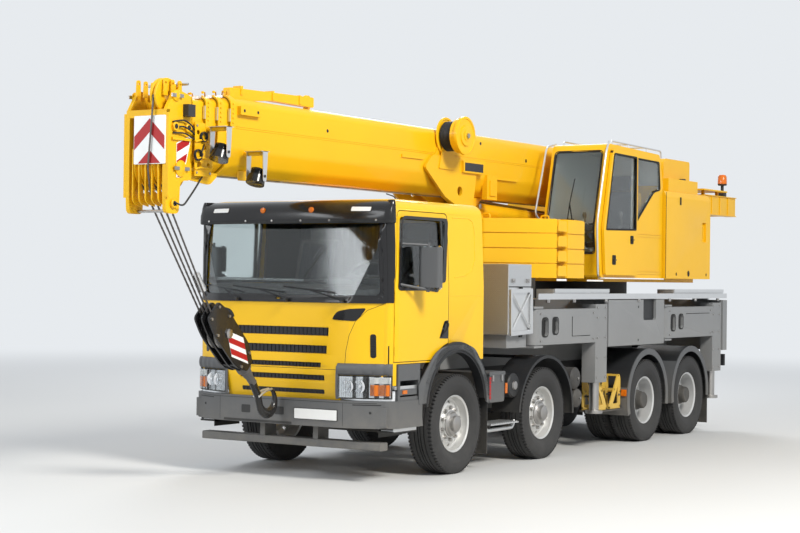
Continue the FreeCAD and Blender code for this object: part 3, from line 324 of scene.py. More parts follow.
# %% Paints, plastics and metals
YELLOW = (0.8, 0.445, 0.006)
crane_yellow = finish("crane_yellow", YELLOW, 0.42, coat=0.14, dust=0.35, dust_top=1.0, tone=0.1, grain=220,
    bump=0.03, shine=0.26)
cab_yellow = finish("cab_yellow", (0.81, 0.475, 0.006), 0.36, coat=0.22, dust=0.4, dust_top=0.95, tone=0.06,
    grain=260, bump=0.015, shine=0.3)
grey_paint = finish("grey_paint", (0.215, 0.22, 0.225), 0.5, coat=0.1, dust=0.35, dust_top=1.6, tone=0.16,
    grain=180, bump=0.05)
frame_paint = finish("frame_paint", (0.03, 0.031, 0.034), 0.55, dust=0.32, dust_top=1.3, tone=0.2,
    grain=120, bump=0.12, shine=0.35)
black_plastic = finish("black_plastic", (0.018, 0.019, 0.021), 0.5, dust=0.22, dust_top=0.9, tone=0.15,
    grain=900, bump=0.18, depth=0.0006, shine=0.35)
bumper_plastic = finish("bumper_plastic", (0.085, 0.088, 0.092), 0.5, dust=0.5, dust_top=0.9, tone=0.14,
    grain=1100, bump=0.2, depth=0.0006)
gloss_black = finish("gloss_black", (0.012, 0.012, 0.013), 0.2, coat=0.25, dust=0.12, dust_top=0.9,
    shine=0.3)
rubber = finish("rubber_seal", (0.012, 0.012, 0.012), 0.7, dust=0.2, dust_top=1.2, grain=500, bump=0.05,
    shine=0.3)
tyre_rubber = finish("tyre_rubber", (0.014, 0.014, 0.015), 0.72, dust=0.4, dust_top=1.4, tone=0.25,
    grain=160, bump=0.16, dust_colour=(0.095, 0.093, 0.09))
polished_alloy = finish("polished_alloy", (0.72, 0.72, 0.71), 0.33, metal=0.75, dust=0.25, dust_top=1.4,
    grain=60, bump=0.02)
wheel_silver = finish("wheel_silver", (0.66, 0.67, 0.68), 0.4, metal=0.5, dust=0.35, dust_top=1.4,
    grain=140, bump=0.04)
bare_steel = finish("bare_steel", (0.42, 0.41, 0.4), 0.34, metal=1.0, dust=0.3, dust_top=1.0, tone=0.2,
    grain=90, bump=0.05)
chrome = finish("chrome_rod", (0.83, 0.83, 0.84), 0.08, metal=1.0, dust=0.05, grain=400, bump=0.01)
rope_steel = finish("rope_steel", (0.11, 0.1, 0.095), 0.45, metal=0.7, dust=0.1, grain=700, bump=0.4)
cast_iron = finish("cast_iron", (0.1, 0.1, 0.105), 0.6, metal=0.5, dust=0.6, dust_top=1.4, grain=260,
    bump=0.25)
aluminium = finish("aluminium_edge", (0.66, 0.67, 0.68), 0.32, metal=0.85, dust=0.15, dust_top=2.2,
    grain=90, bump=0.04)
lining = finish("cab_lining", (0.045, 0.046, 0.05), 0.7, dust=0.0, grain=700, bump=0.15)
crane_lining = finish("crane_cab_lining", (0.62, 0.63, 0.62), 0.6, dust=0.0, grain=700, bump=0.15)
lamp_mirror = finish("lamp_mirror", (0.8, 0.82, 0.84), 0.22, metal=0.6, dust=0.0, grain=60, bump=0.05)
seat_cloth = finish("seat_cloth", (0.055, 0.06, 0.07), 0.85, dust=0.0, grain=1400, bump=0.4, depth=0.0008)
dash_plastic = finish("dash_plastic", (0.1, 0.1, 0.105), 0.6, dust=0.0, grain=1200, bump=0.2)
sign_white = finish("sign_white", (0.82, 0.82, 0.8), 0.4, dust=0.2, dust_top=1.0, tone=0.06)
sign_red = finish("sign_red", (0.38, 0.002, 0.003), 0.5, dust=0.1, dust_top=1.0, tone=0.08)
chock_yellow = finish("chock_yellow", (0.8, 0.5, 0.04), 0.5, dust=0.5, dust_top=1.2, grain=600, bump=0.08)


# %% [markdown]
# ## Glass
# The panes are lightly tinted. Real glass lets light through and mirrors the sky, so the shader has full
# transmission and almost no roughness. Lamp glass is clearer, and the small lenses have their own tint.

# %% Glass
def glass(name, colour, roughness=0.02, transmission=1.0):
    material = bpy.data.materials.new(name)
    material.use_nodes = True
    tree = material.node_tree
    shader = tree.nodes["Principled BSDF"]
    place = new_node(tree, "ShaderNodeTexCoord").outputs["Object"]
    dirt = maths(tree, "MULTIPLY", noise(tree, place, 5.0, 5.0, 0.6), 0.08)
    tree.links.new(maths(tree, "ADD", dirt, roughness), shader.inputs["Roughness"])
    shade = mixed(tree, noise(tree, place, 1.2), (*colour, 1), (*[c * 0.85 for c in colour], 1))
    tree.links.new(shade, shader.inputs["Base Color"])
    shader.inputs["Transmission Weight"].default_value = transmission
    shader.inputs["IOR"].default_value = 1.45
    return material


cab_pane = glass("tinted_glass", (0.8, 0.86, 0.86))
lamp_glass = glass("lamp_glass", (0.9, 0.92, 0.93))
amber_glass = glass("amber_glass", (0.9, 0.22, 0.012), 0.08, 0.3)
red_glass = glass("red_glass", (0.75, 0.02, 0.015), 0.08, 0.4)

# %% [markdown]
# ## Checker plate
# The tool box and the walkways are aluminium plate with short raised studs in slanting rows,
# so that a boot finds grip. Two waves that cross at right angles, both turned by 45 degrees, give the
# studs where they are high together, and a Bump node raises them.

# %% Checker plate
CHECKER_PITCH = 0.034


def checker(name):
    material = finish(name, (0.58, 0.59, 0.6), 0.34, metal=0.9, dust=0.2, dust_top=2.4, grain=90)
    tree = material.node_tree
    place = new_node(tree, "ShaderNodeTexCoord").outputs["Object"]
    apart = new_node(tree, "ShaderNodeSeparateXYZ")
    tree.links.new(place, apart.inputs[0])
    # X and Y are added, so the pattern runs over both upright faces and the top
    across = maths(tree, "ADD", apart.outputs["X"], apart.outputs["Y"])
    upright = maths(tree, "ADD", apart.outputs["Z"], apart.outputs["X"])
    waves = []
    for slope in (1.0, -1.0):
        run = maths(tree, "ADD", across, maths(tree, "MULTIPLY", upright, slope))
        waves.append(maths(tree, "SINE", maths(tree, "MULTIPLY", run, math.tau / CHECKER_PITCH / 1.4)))
    studs = maths(tree, "MULTIPLY", waves[0], waves[1])
    raised = maths(tree, "GREATER_THAN", studs, 0.45)
    relief = tree.nodes["Bump"]
    relief.inputs["Strength"].default_value = 0.55
    relief.inputs["Distance"].default_value = 0.003
    tree.links.new(raised, relief.inputs["Height"])
    return material


checker_plate = checker("checker_plate")

# %% [markdown]
# ## Dressing the frame's solids
# The solids arrive as loose triangles with hard edges. A pressed or welded part has small rounds that
# catch the light, so most solids are copied, welded together, cleared of needless edges and given a fine
# bevel. The copy then stands for the solid. Nothing changes its size.

# %% Piece helpers
def place_piece(name, mesh, body, materials, smooth=35, bevel=0.0, segments=2, replaces=()):
    """Turns a mesh into a finished piece that rides on its body."""
    thing = bpy.data.objects.new(name, mesh)
    bpy.context.scene.collection.objects.link(thing)
    if not isinstance(materials, (list, tuple)):
        materials = [materials]
    if not mesh.materials:
        for material in materials:
            mesh.materials.append(material)
    mesh.shade_smooth()
    mesh.set_sharp_from_angle(angle=math.radians(smooth))
    if bevel:
        edge = thing.modifiers.new("edge", "BEVEL")
        edge.width = bevel
        edge.segments = segments
        edge.limit_method = "ANGLE"
        edge.angle_limit = math.radians(40)
        edge.harden_normals = True
    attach(thing, body)
    if replaces:
        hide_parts(*replaces)
    return thing


def welded(name):
    """A bmesh of one CAD node, merged and with its flat faces joined."""
    shape = bmesh.new()
    shape.from_mesh(cad_nodes[name].data)
    bmesh.ops.remove_doubles(shape, verts=shape.verts, dist=0.00002)
    bmesh.ops.dissolve_limit(shape, angle_limit=math.radians(0.6), verts=shape.verts, edges=shape.edges)
    bmesh.ops.dissolve_degenerate(shape, dist=0.0002, edges=shape.edges)
    return shape


def skin_of(name, shape, materials, smooth, bevel):
    """Ends a dressed copy of a CAD node as the piece that stands for it."""
    mesh = bpy.data.meshes.new(name + "_skin")
    shape.to_mesh(mesh)
    shape.free()
    return place_piece(name + "_skin", mesh, body_of_node[name], materials, smooth, bevel, replaces=[name])


def dressed(name, material, bevel=0.004, smooth=30, room=None, inner=None):
    """A copy of a CAD node with a finish. Faces inside a room, two opposite corners, get its lining."""
    shape = welded(name)
    for face in shape.faces:
        face.material_index = 0
        if room:
            middle = face.calc_center_median()
            inside = all(a < c < b for a, c, b in zip(room[0], middle, room[1]))
            face.material_index = int(inside and face.normal.dot((room[0] + room[1]) / 2 - middle) > 0)
    return skin_of(name, shape, [material, inner] if inner else material, smooth, bevel)


def islands(shape):
    """The separate solids of a bmesh, as lists of faces."""
    left = set(shape.faces)
    found = []
    while left:
        start = left.pop()
        group = [start]
        queue = [start]
        while queue:
            for edge in queue.pop().edges:
                for face in edge.link_faces:
                    if face in left:
                        left.remove(face)
                        group.append(face)
                        queue.append(face)
        found.append(group)
    return found


# %% Dress the solids
CAB_BEVEL = 0.006
PLAIN = (
    # solid, finish and bevel
    ("chassis_frame", frame_paint, 0.002), ("axles", frame_paint, 0.003),
    ("engine_block", cast_iron, 0.008), ("front_bumper", bumper_plastic, 0.012),
    ("mudguards", black_plastic, 0.003), ("tool_box", checker_plate, 0.006),
    ("crane_subframe", grey_paint, 0.004), ("deck_rails", aluminium, 0.002),
    ("ballast_plates", crane_yellow, 0.006), ("machine_housing", crane_yellow, 0.01),
    ("luff_barrel", crane_yellow, 0.004), ("luff_rod", chrome, 0.003),
    ("tanks", frame_paint, 0.004), ("cab_glass", cab_pane, 0.0),
    ("crane_cab_glass", cab_pane, 0.0), ("headlamps", lamp_mirror, 0.004),
)
for name, material, bevel in PLAIN:
    dressed(name, material, bevel)
dressed("driver_cab", cab_yellow, CAB_BEVEL, room=(spot(-1.165, -1.19, 1.3), spot(1.165, 0.48, 2.74)),
    inner=lining)
dressed("crane_cab", crane_yellow, CAB_BEVEL, room=(spot(0.47, 3.3, 2.08), spot(1.185, 5.16, 3.66)),
    inner=crane_lining)
table = dressed("turntable", crane_yellow, 0.004, inner=frame_paint)
# The faces below 2.009 m get the dark chassis paint as painted shade under the ballast slabs
for face in table.data.polygons:
    face.material_index = int(face.center.z < 2.009)
for side, sign in SIDES:
    dressed(f"mirror_{side}", bumper_plastic, 0.014)
    for axle in (1, 2):
        dressed(f"knuckle_{axle}_{side}", frame_paint, 0.003)
    for end in ("front", "rear"):
        dressed(f"outrigger_{end}_{side}", grey_paint, 0.006)
        dressed(f"jack_{end}_{side}", bare_steel, 0.004)
dressed("cab_interior", dash_plastic, 0.01)

# %% [markdown]
# ## Doors with their panes
# A door and its pane are one node, because they move together. The copy is taken apart into its separate
# solids, and the one with glass gets the glass.

# %% Doors
def dress_with_pane(name, paint, window, lean=0.0, bevel=0.004):
    """A door. The faces round its window, given by two opposite corners, are the black seal's.

    Where the door's front edge leans, the window's front side moves to the rear by lean for each metre up.
    """
    shape = welded(name)
    parts = sorted(islands(shape), key=lambda faces: -sum(face.calc_area() for face in faces))
    for face in shape.faces:
        middle = face.calc_center_median()
        middle.y -= lean * (middle.z - window[0][1])
        if abs(face.normal.x) < 0.5 and all(a < c < b for a, c, b in zip(window[0], middle[1:], window[1])):
            face.material_index = 2
    for face in parts[-1]:
        face.material_index = 1
    return skin_of(name, shape, [paint, cab_pane, rubber], 30, bevel)


for side, sign in SIDES:
    dress_with_pane(f"door_{side}", cab_yellow, (spot(0, -1.175, 1.88)[1:], spot(0, -0.225, 2.65)[1:]))
dress_with_pane("crane_door", crane_yellow, (spot(0, 3.41, 2.6)[1:], spot(0, 4.335, 3.605)[1:]), 0.2)

# %% [markdown]
# ## Mesh tools
# Four small builders make nearly every fitting. One turns a profile about an axis, as on a lathe. One
# sweeps a round bar along points, as a pipe bender does. One extrudes an outline that may have holes,
# as a plate is cut. One makes a block. They add to the same bmesh, so a fitting made of many parts is
# one piece.

# %% Builders
AXES = {"x": (1, 2, 0), "y": (0, 2, 1), "z": (0, 1, 2)}


def on_axis(axis, a, b, along):
    point = [0, 0, 0]
    first, second, third = AXES[axis]
    point[first], point[second], point[third] = a, b, along
    return Vector(point)


def lathe(shape, profile, centre, axis="x", steps=48, paint=0, closed=False):
    """Turns (along, radius) points about an axis through the centre."""
    rings = []
    for along, radius in profile:
        circle = disc(0, 0, radius, steps) if radius > 1e-6 else [(0, 0)]
        rings.append([shape.verts.new(on_axis(axis, a, b, along) + centre) for a, b in circle])
    pairs = list(zip(rings, rings[1:]))
    if closed:
        pairs.append((rings[-1], rings[0]))
    made = []
    for first, second in pairs:
        for k in range(steps):
            after = (k + 1) % steps
            loop = [first[k % len(first)], first[after % len(first)], second[after % len(second)],
                second[k % len(second)]]
            loop = list(dict.fromkeys(loop))
            if len(loop) > 2:
                made.append(shape.faces.new(loop))
    if not closed:
        for ends in (rings[0], rings[-1]):
            if len(ends) > 1:
                made.append(shape.faces.new(ends))
    for face in made:
        face.material_index = paint
    bmesh.ops.recalc_face_normals(shape, faces=made)
    return made


def corner_arc(before, corner, after, radius, steps):
    """Points of a short curve that takes the place of a corner."""
    back, ahead = before - corner, after - corner
    reach = min(radius, back.length * 0.48, ahead.length * 0.48)
    start, end = corner + back.normalized() * reach, corner + ahead.normalized() * reach
    shares = [k / steps for k in range(steps + 1)]
    return [start * (1 - t) ** 2 + corner * 2 * t * (1 - t) + end * t * t for t in shares]


def rounded(points, radius, steps=5):
    """A polyline whose inner corners are replaced by short arcs."""
    points = [Vector(p) for p in points]
    result = [points[0]]
    for before, corner, after in zip(points, points[1:], points[2:]):
        result += corner_arc(before, corner, after, radius, steps)
    return result + [points[-1]]


def skinned(shape, rings, paint=0):
    """Faces between rings of equal size, closed at both ends."""
    count = len(rings[0])
    made = []
    for a, b in zip(rings, rings[1:]):
        for k in range(count):
            after = (k + 1) % count
            made.append(shape.faces.new([a[k], a[after], b[after], b[k]]))
    made += [shape.faces.new(rings[0]), shape.faces.new(rings[-1])]
    for face in made:
        face.material_index = paint
    bmesh.ops.recalc_face_normals(shape, faces=made)
    return made


def pipe(shape, points, radius, bend=0.0, sides=10, paint=0):
    """A round bar along a line of points, closed at both ends."""
    line = rounded(points, bend) if bend else [Vector(p) for p in points]
    steps = [(b - a).normalized() for a, b in zip(line, line[1:])]
    tangents = [(a + b).normalized() for a, b in zip(steps, steps[1:])]
    tangents = [steps[0], *tangents, steps[-1]]
    side = tangents[0].orthogonal().normalized()
    turns = [math.tau * k / sides for k in range(sides)]
    rings = []
    for point, tangent in zip(line, tangents):
        side = (side - tangent * side.dot(tangent)).normalized()
        other = tangent.cross(side)
        ring = [point + radius * (side * math.cos(turn) + other * math.sin(turn)) for turn in turns]
        rings.append([shape.verts.new(place) for place in ring])
    return skinned(shape, rings, paint)


def corner_round(outline, steps=5):
    """Points (a, b) or (a, b, radius) of an outline, with the corners rounded."""
    result = []
    count = len(outline)
    for k, point in enumerate(outline):
        corner = Vector(point[:2])
        if len(point) < 3:
            result.append(corner)
            continue
        before, after = Vector(outline[k - 1][:2]), Vector(outline[(k + 1) % count][:2])
        result += corner_arc(before, corner, after, point[2], steps)
    return result


def outline_edges(shape, loops, place):
    """Edges along rounded outlines. The place is a function that gives a point its place in space."""
    edges = []
    for loop in loops:
        verts = [shape.verts.new(place(point)) for point in corner_round(loop)]
        edges += [shape.edges.new((a, b)) for a, b in zip(verts, verts[1:] + verts[:1])]
    return edges


def sheet_plate(shape, outline, axis, low, high, paint=0, holes=(), shift=None):
    """An outline across an axis, with holes, made into a plate between two depths.

    The shift is a function that moves each point, for a plate that isn't flat.
    """
    edges = outline_edges(shape, (outline, *holes), lambda point: on_axis(axis, point.x, point.y, low))
    if holes:
        filled = bmesh.ops.triangle_fill(shape, edges=edges, use_beauty=True, use_dissolve=False)
        faces = [part for part in filled["geom"] if isinstance(part, bmesh.types.BMFace)]
    else:
        faces = [shape.faces.new([edge.verts[0] for edge in edges])]
    raised = bmesh.ops.extrude_face_region(shape, geom=faces)["geom"]
    verts = [part for part in raised if isinstance(part, bmesh.types.BMVert)]
    bmesh.ops.translate(shape, verts=verts, vec=on_axis(axis, 0, 0, high - low))
    made = set(faces) | {part for part in raised if isinstance(part, bmesh.types.BMFace)}
    for vert in verts:
        made.update(vert.link_faces)
    for face in made:
        face.material_index = paint
    bmesh.ops.recalc_face_normals(shape, faces=list(made))
    if shift:
        for vert in {v for face in made for v in face.verts}:
            vert.co = shift(vert.co)
    return list(made)


def block(shape, x, y, z, paint=0):
    """A block between two limits on each axis. Y limits are stations."""
    low, high = sorted(x)
    return cross_plate(shape, ((low, z[0]), (high, z[0]), (high, z[1]), (low, z[1])), y, paint)


def arc(a, b, radius, angles):
    """Points on a circle at the given angles, in radians."""
    return [(a + radius * math.cos(angle), b + radius * math.sin(angle)) for angle in angles]


def disc(a, b, radius, sides=16):
    """An outline that is a circle."""
    return arc(a, b, radius, [math.tau * k / sides for k in range(sides)])


def rectangle(a, b, corner):
    """An outline between two limits each way, with four equal rounded corners."""
    return [(a[0], b[0], corner), (a[1], b[0], corner), (a[1], b[1], corner), (a[0], b[1], corner)]


def stations(points):
    """An outline of (station, z) points as (Y, z) points."""
    return [(p[0] - MIDDLE_STATION, *p[1:]) for p in points]


def side_plate(shape, outline, depths, paint=0, holes=()):
    """A plate seen from the side: its points are (station, z) and its depths two values of x."""
    holes = [stations(hole) for hole in holes]
    return sheet_plate(shape, stations(outline), "x", *sorted(depths), paint, holes)


def cross_plate(shape, outline, depths, paint=0, holes=()):
    """A plate seen from the front: its points are (x, z) and its depths two stations."""
    low, high = (depth - MIDDLE_STATION for depth in depths)
    return sheet_plate(shape, outline, "y", low, high, paint, holes)


def hose(shape, points, *settings, **more):
    """A pipe through points (x, station, z)."""
    return pipe(shape, [spot(*point) for point in points], *settings, **more)


def plan_plate(shape, x, y, z, corner, paint=0):
    """A flat plate seen from above, with round corners. Y limits are stations."""
    front, back = (station - MIDDLE_STATION for station in y)
    return sheet_plate(shape, rectangle(x, (front, back), corner), "z", *z, paint)


def to_right(shape):
    """Takes a fitting made for the left side over to the right side."""
    for vert in shape.verts:
        vert.co.x = -vert.co.x
    bmesh.ops.reverse_faces(shape, faces=shape.faces[:])


def add_mirrored(shape):
    """Adds the same fittings on the other side of the vehicle."""
    copy = bmesh.ops.duplicate(shape, geom=shape.verts[:] + shape.edges[:] + shape.faces[:])["geom"]
    for part in copy:
        if isinstance(part, bmesh.types.BMVert):
            part.co.x = -part.co.x
    bmesh.ops.reverse_faces(shape, faces=[part for part in copy if isinstance(part, bmesh.types.BMFace)])


def tilted(shape, before, angle, place):
    """Turns the points that aren't in before about X and moves them to their place."""
    turn = Matrix.Rotation(angle, 3, "X")
    for vert in shape.verts:
        if vert not in before:
            vert.co = turn @ vert.co + place


def close_piece(shape, name, body, materials, mirror=False, **settings):
    """Ends a bmesh as a finished piece. With mirror, the other half of the vehicle gets the same."""
    if mirror:
        add_mirrored(shape)
    mesh = bpy.data.meshes.new(name)
    shape.to_mesh(mesh)
    shape.free()
    print(name, len(mesh.polygons), "faces")
    return place_piece(name, mesh, body, materials, **settings)


# %% [markdown]
# ## Geometry Nodes for things that repeat
# Bolts, nuts and tread lugs are one small shape many times over. One tree puts a shape at equal steps
# round an axle, and another puts it at the points of a mesh, turned along each point's normal. Both
# realize their copies, and the result is kept as a plain mesh.

# %% Round and point trees
def tree_with(name, sockets):
    tree = bpy.data.node_groups.new(name, "GeometryNodeTree")
    for title, kind, value in sockets:
        socket = tree.interface.new_socket(name=title, in_out="INPUT", socket_type=kind)
        if value is not None:
            socket.default_value = value
    tree.interface.new_socket(name="Geometry", in_out="OUTPUT", socket_type="NodeSocketGeometry")
    return tree, new_node(tree, "NodeGroupInput").outputs, new_node(tree, "NodeGroupOutput").inputs


def copies_at(tree, given, points):
    """The node that puts the given shape at points."""
    info = new_node(tree, "GeometryNodeObjectInfo")
    copies = new_node(tree, "GeometryNodeInstanceOnPoints")
    tree.links.new(given["Shape"], info.inputs["Object"])
    tree.links.new(points, copies.inputs["Points"])
    tree.links.new(info.outputs["Geometry"], copies.inputs["Instance"])
    return copies


def hand_over(tree, given, made, copies):
    """Makes the copies real, gives them their finish and passes them on."""
    real = new_node(tree, "GeometryNodeRealizeInstances")
    painted = new_node(tree, "GeometryNodeSetMaterial")
    tree.links.new(copies.outputs[0], real.inputs[0])
    tree.links.new(real.outputs[0], painted.inputs["Geometry"])
    tree.links.new(given["Finish"], painted.inputs["Material"])
    tree.links.new(painted.outputs[0], made["Geometry"])


round_tree, given, made = tree_with("copies_round_axle", (
    # input, kind and value when nothing else is given
    ("Geometry", "NodeSocketGeometry", None), ("Shape", "NodeSocketObject", None),
    ("Count", "NodeSocketInt", 10), ("Radius", "NodeSocketFloat", 0.1),
    ("Finish", "NodeSocketMaterial", None),
))
circle = new_node(round_tree, "GeometryNodeMeshCircle")
round_tree.links.new(given["Count"], circle.inputs["Vertices"])
round_tree.links.new(given["Radius"], circle.inputs["Radius"])
copies = copies_at(round_tree, given, circle.outputs["Mesh"])
step = maths(round_tree, "DIVIDE", math.tau, given["Count"])
number = new_node(round_tree, "GeometryNodeInputIndex").outputs[0]
spin = new_node(round_tree, "ShaderNodeCombineXYZ")
round_tree.links.new(maths(round_tree, "MULTIPLY", number, step), spin.inputs["Z"])
round_tree.links.new(spin.outputs[0], copies.inputs["Rotation"])
hand_over(round_tree, given, made, copies)

point_tree, given, made = tree_with("copies_at_points", (
    # input, kind and value when nothing else is given
    ("Geometry", "NodeSocketGeometry", None), ("Shape", "NodeSocketObject", None),
    ("Size", "NodeSocketFloat", 1.0), ("Finish", "NodeSocketMaterial", None),
))
copies = copies_at(point_tree, given, given["Geometry"])
aim = new_node(point_tree, "FunctionNodeAlignRotationToVector")
point_tree.links.new(new_node(point_tree, "GeometryNodeInputNormal").outputs[0], aim.inputs["Vector"])
# Every point comes with two helpers that only carry its direction, so each third one gets a copy
number = new_node(point_tree, "GeometryNodeInputIndex").outputs[0]
turn_in_three = maths(point_tree, "MODULO", number, 3.0)
point_tree.links.new(maths(point_tree, "LESS_THAN", turn_in_three, 0.5), copies.inputs["Selection"])
point_tree.links.new(aim.outputs[0], copies.inputs["Rotation"])
point_tree.links.new(given["Size"], copies.inputs["Scale"])
hand_over(point_tree, given, made, copies)


def grown_mesh(tree, values, base=None):
    """Runs a tree once with the given inputs and returns its result as a plain mesh."""
    holder = bpy.data.objects.new("holder", base or bpy.data.meshes.new("holder"))
    bpy.context.scene.collection.objects.link(holder)
    modifier = holder.modifiers.new("copies", "NODES")
    modifier.node_group = tree
    for item in tree.interface.items_tree:
        if item.in_out == "INPUT" and item.name in values:
            modifier[item.identifier] = values[item.name]
    holder.update_tag()
    bpy.context.view_layer.update()
    seen = holder.evaluated_get(bpy.context.evaluated_depsgraph_get())
    mesh = bpy.data.meshes.new_from_object(seen)
    bpy.data.objects.remove(holder)
    return mesh


def pattern(shape, name):
    """Keeps a bmesh as a hidden object that a tree copies."""
    mesh = bpy.data.meshes.new(name)
    shape.to_mesh(mesh)
    shape.free()
    thing = bpy.data.objects.new(name, mesh)
    bpy.context.scene.collection.objects.link(thing)
    thing.hide_render = True
    thing.hide_viewport = True
    return thing


def hex_head(name, across, tall, washer):
    """A bolt's head or a nut on its washer, given its width over the flats."""
    shape = bmesh.new()
    middle = Vector((0, 0, 0))
    corner = across / 1.732
    lathe(shape, [(0, washer), (0.002, washer)], middle, "z", 12)
    lathe(shape, [(0, corner), (tall * 0.8, corner), (tall, across / 2.1)], middle, "z", 6)
    return pattern(shape, name)


def points_mesh(points):
    """Single points with the directions that their copies face."""
    mesh = bpy.data.meshes.new("points")
    shape = bmesh.new()
    for point, facing in points:
        out = Vector(facing).normalized()
        first = out.orthogonal().normalized() * 1e-4
        second = out.cross(first).normalized() * 1e-4
        # A tiny triangle carries the direction, and one corner of it carries the copy
        shape.faces.new([shape.verts.new(Vector(point) + offset) for offset in (first, second,
            -first - second)])
    shape.to_mesh(mesh)
    shape.free()
    return mesh


# %% [markdown]
# ## Tyres
# A highway tyre has five ribs with four grooves, and the two shoulder ribs are cut into lugs. The profile
# below is half of the cross-section: bead, sidewall with two raised lines, shoulder, ribs and grooves. It
# is mirrored and turned on a lathe, and the lugs are copied round by the tree. The tread goes no further
# out than the solid tyre it replaces.

# %% Tyres
TREAD_RADIUS = 0.5175
TYRE_STEPS = 96
HALF_PROFILE = ((0.105, 0.2945), (0.113, 0.3), (0.117, 0.309), (0.121, 0.315), (0.134, 0.332),
    (0.146, 0.362), (0.1535, 0.392), (0.1555, 0.403), (0.1545, 0.412), (0.1552, 0.44), (0.154, 0.4445),
    (0.15, 0.462), (0.1455, 0.476), (0.1435, 0.479), (0.1405, 0.49), (0.135, 0.5), (0.108, 0.504))
RIBS = ((0.104, 0.5172), (0.064, TREAD_RADIUS), (0.061, 0.503), (0.053, 0.503), (0.05, TREAD_RADIUS),
    (0.021, TREAD_RADIUS + 0.0005), (0.018, 0.503), (0.01, 0.503), (0.007, TREAD_RADIUS + 0.0005))


def tyre_profile():
    half = list(HALF_PROFILE) + list(RIBS)
    return half + [(-x, radius) for x, radius in reversed(half)]


lug = bmesh.new()
sheet_plate(lug, ((0.1045, 0.499), (0.144, 0.4965), (0.1425, 0.5085), (0.136, 0.5155), (0.1045, 0.5172)),
    "y", -0.0105, 0.0105)
# The tree turns about Z, so the lug stands with its radius along X and its width along Z
for vert in lug.verts:
    vert.co = Vector((vert.co.z - 0.5, vert.co.y, vert.co.x))
lug = pattern(lug, "shoulder_lug")
lug_ring = grown_mesh(round_tree, {"Shape": lug, "Count": 76, "Radius": 0.5, "Finish": tyre_rubber})


def add_turned(shape, mesh, centre, side, paint=0):
    """Adds a mesh that was made about Z, turned so that its Z is the axle."""
    before = set(shape.verts)
    old = set(shape.faces)
    shape.from_mesh(mesh)
    new = [vert for vert in shape.verts if vert not in before]
    for vert in new:
        x, y, z = vert.co
        vert.co = Vector((z * side, y, x)) + centre
    faces = [face for face in shape.faces if face not in old]
    for face in faces:
        face.material_index = paint
    bmesh.ops.recalc_face_normals(shape, faces=faces)


def add_tyre(shape, x, station):
    centre = spot(x, station, HUB_HEIGHT)
    lathe(shape, tyre_profile(), centre, "x", TYRE_STEPS, closed=True)
    for side in (1, -1):
        add_turned(shape, lug_ring, centre, side)


STEER_X = 1.064
TWIN_X = (1.079, 0.729)
for side, sign in SIDES:
    for number, station in enumerate(AXLE_STATIONS, 1):
        shape = bmesh.new()
        for x in ((STEER_X,) if number < 3 else TWIN_X):
            add_tyre(shape, sign * x, station)
        close_piece(shape, f"tyre_{number}_{side}_tread", f"wheel_{number}_{side}", tyre_rubber, smooth=28,
            replaces=[f"tyre_{number}_{side}"])

# %% [markdown]
# ## Wheels
# The steered wheels are polished forged alloy: a wide flange, ten round hand holes, ten nuts and a hub
# cap that stands proud. The driven wheels are the same disc turned the other way round, so it lies deep
# inside the rim with the planetary hub in front of it. The disc with its holes is a plate, and the rest
# is turned.

# %% Wheels
HOLE_COUNT = 10
NUT_COUNT = 10
NUT_RADIUS = 0.1675
nut = hex_head("wheel_nut", 0.032, 0.03, 0.022)
nut_ring = grown_mesh(round_tree, {"Shape": nut, "Count": NUT_COUNT, "Radius": NUT_RADIUS,
    "Finish": bare_steel})


def holed_disc(shape, x, thick, outer, inner, hole_at, hole_size, centre, dish=0.0, paint=0):
    """A disc with hand holes. The dish moves its inner edge along the axle."""
    middles = arc(0, 0, hole_at, [math.tau * (k + 0.5) / HOLE_COUNT for k in range(HOLE_COUNT)])
    holes = [disc(*middle, hole_size, 14) for middle in middles] + [disc(0, 0, inner, 40)]

    def cone(point):
        radius = math.hypot(point.y, point.z)
        return Vector((point.x + dish * (outer - radius) / (outer - inner), point.y, point.z)) + centre

    sheet_plate(shape, disc(0, 0, outer, 60), "x", x, x + thick, paint, holes, cone)


def turned(shape, sign, middle, centre, profile, hub=False):
    """A turned part of a wheel, measured outwards from its tyre's middle. A hub is solid."""
    profile = [(sign * (middle + x), radius) for x, radius in profile]
    if hub:
        lathe(shape, profile, centre, "x", 40, 1)
    else:
        lathe(shape, profile, centre, "x", 60, closed=True)


RIM_EDGE = [(-0.118, 0.297), (-0.108, 0.297), (-0.106, 0.2875), (0.106, 0.2875), (0.109, 0.297),
    (0.117, 0.2975), (0.1185, 0.294)]


def steered_wheel(shape, sign, centre):
    turned(shape, sign, STEER_X, centre, RIM_EDGE + [(0.114, 0.287), (0.108, 0.277), (0.06, 0.268),
        (0.035, 0.262), (0.028, 0.245), (0.018, 0.245), (0.02, 0.262), (-0.02, 0.275), (-0.112, 0.275)])
    holed_disc(shape, sign * (STEER_X + 0.018), sign * 0.014, 0.247, 0.196, 0.2215, 0.0165, centre,
        sign * 0.03)
    turned(shape, sign, STEER_X, centre, [(0.046, 0.198), (0.062, 0.198), (0.06, 0.19), (0.058, 0.15),
        (0.075, 0.146), (0.078, 0.135), (0.05, 0.135), (0.04, 0.15)])
    turned(shape, sign, STEER_X, centre, [(0.05, 0.136), (0.088, 0.133), (0.094, 0.122), (0.112, 0.112),
        (0.118, 0.085), (0.15, 0.08), (0.156, 0.07), (0.158, 0.0)], True)
    add_turned(shape, nut_ring, centre + Vector((sign * (STEER_X + 0.058), 0, 0)), sign, 1)


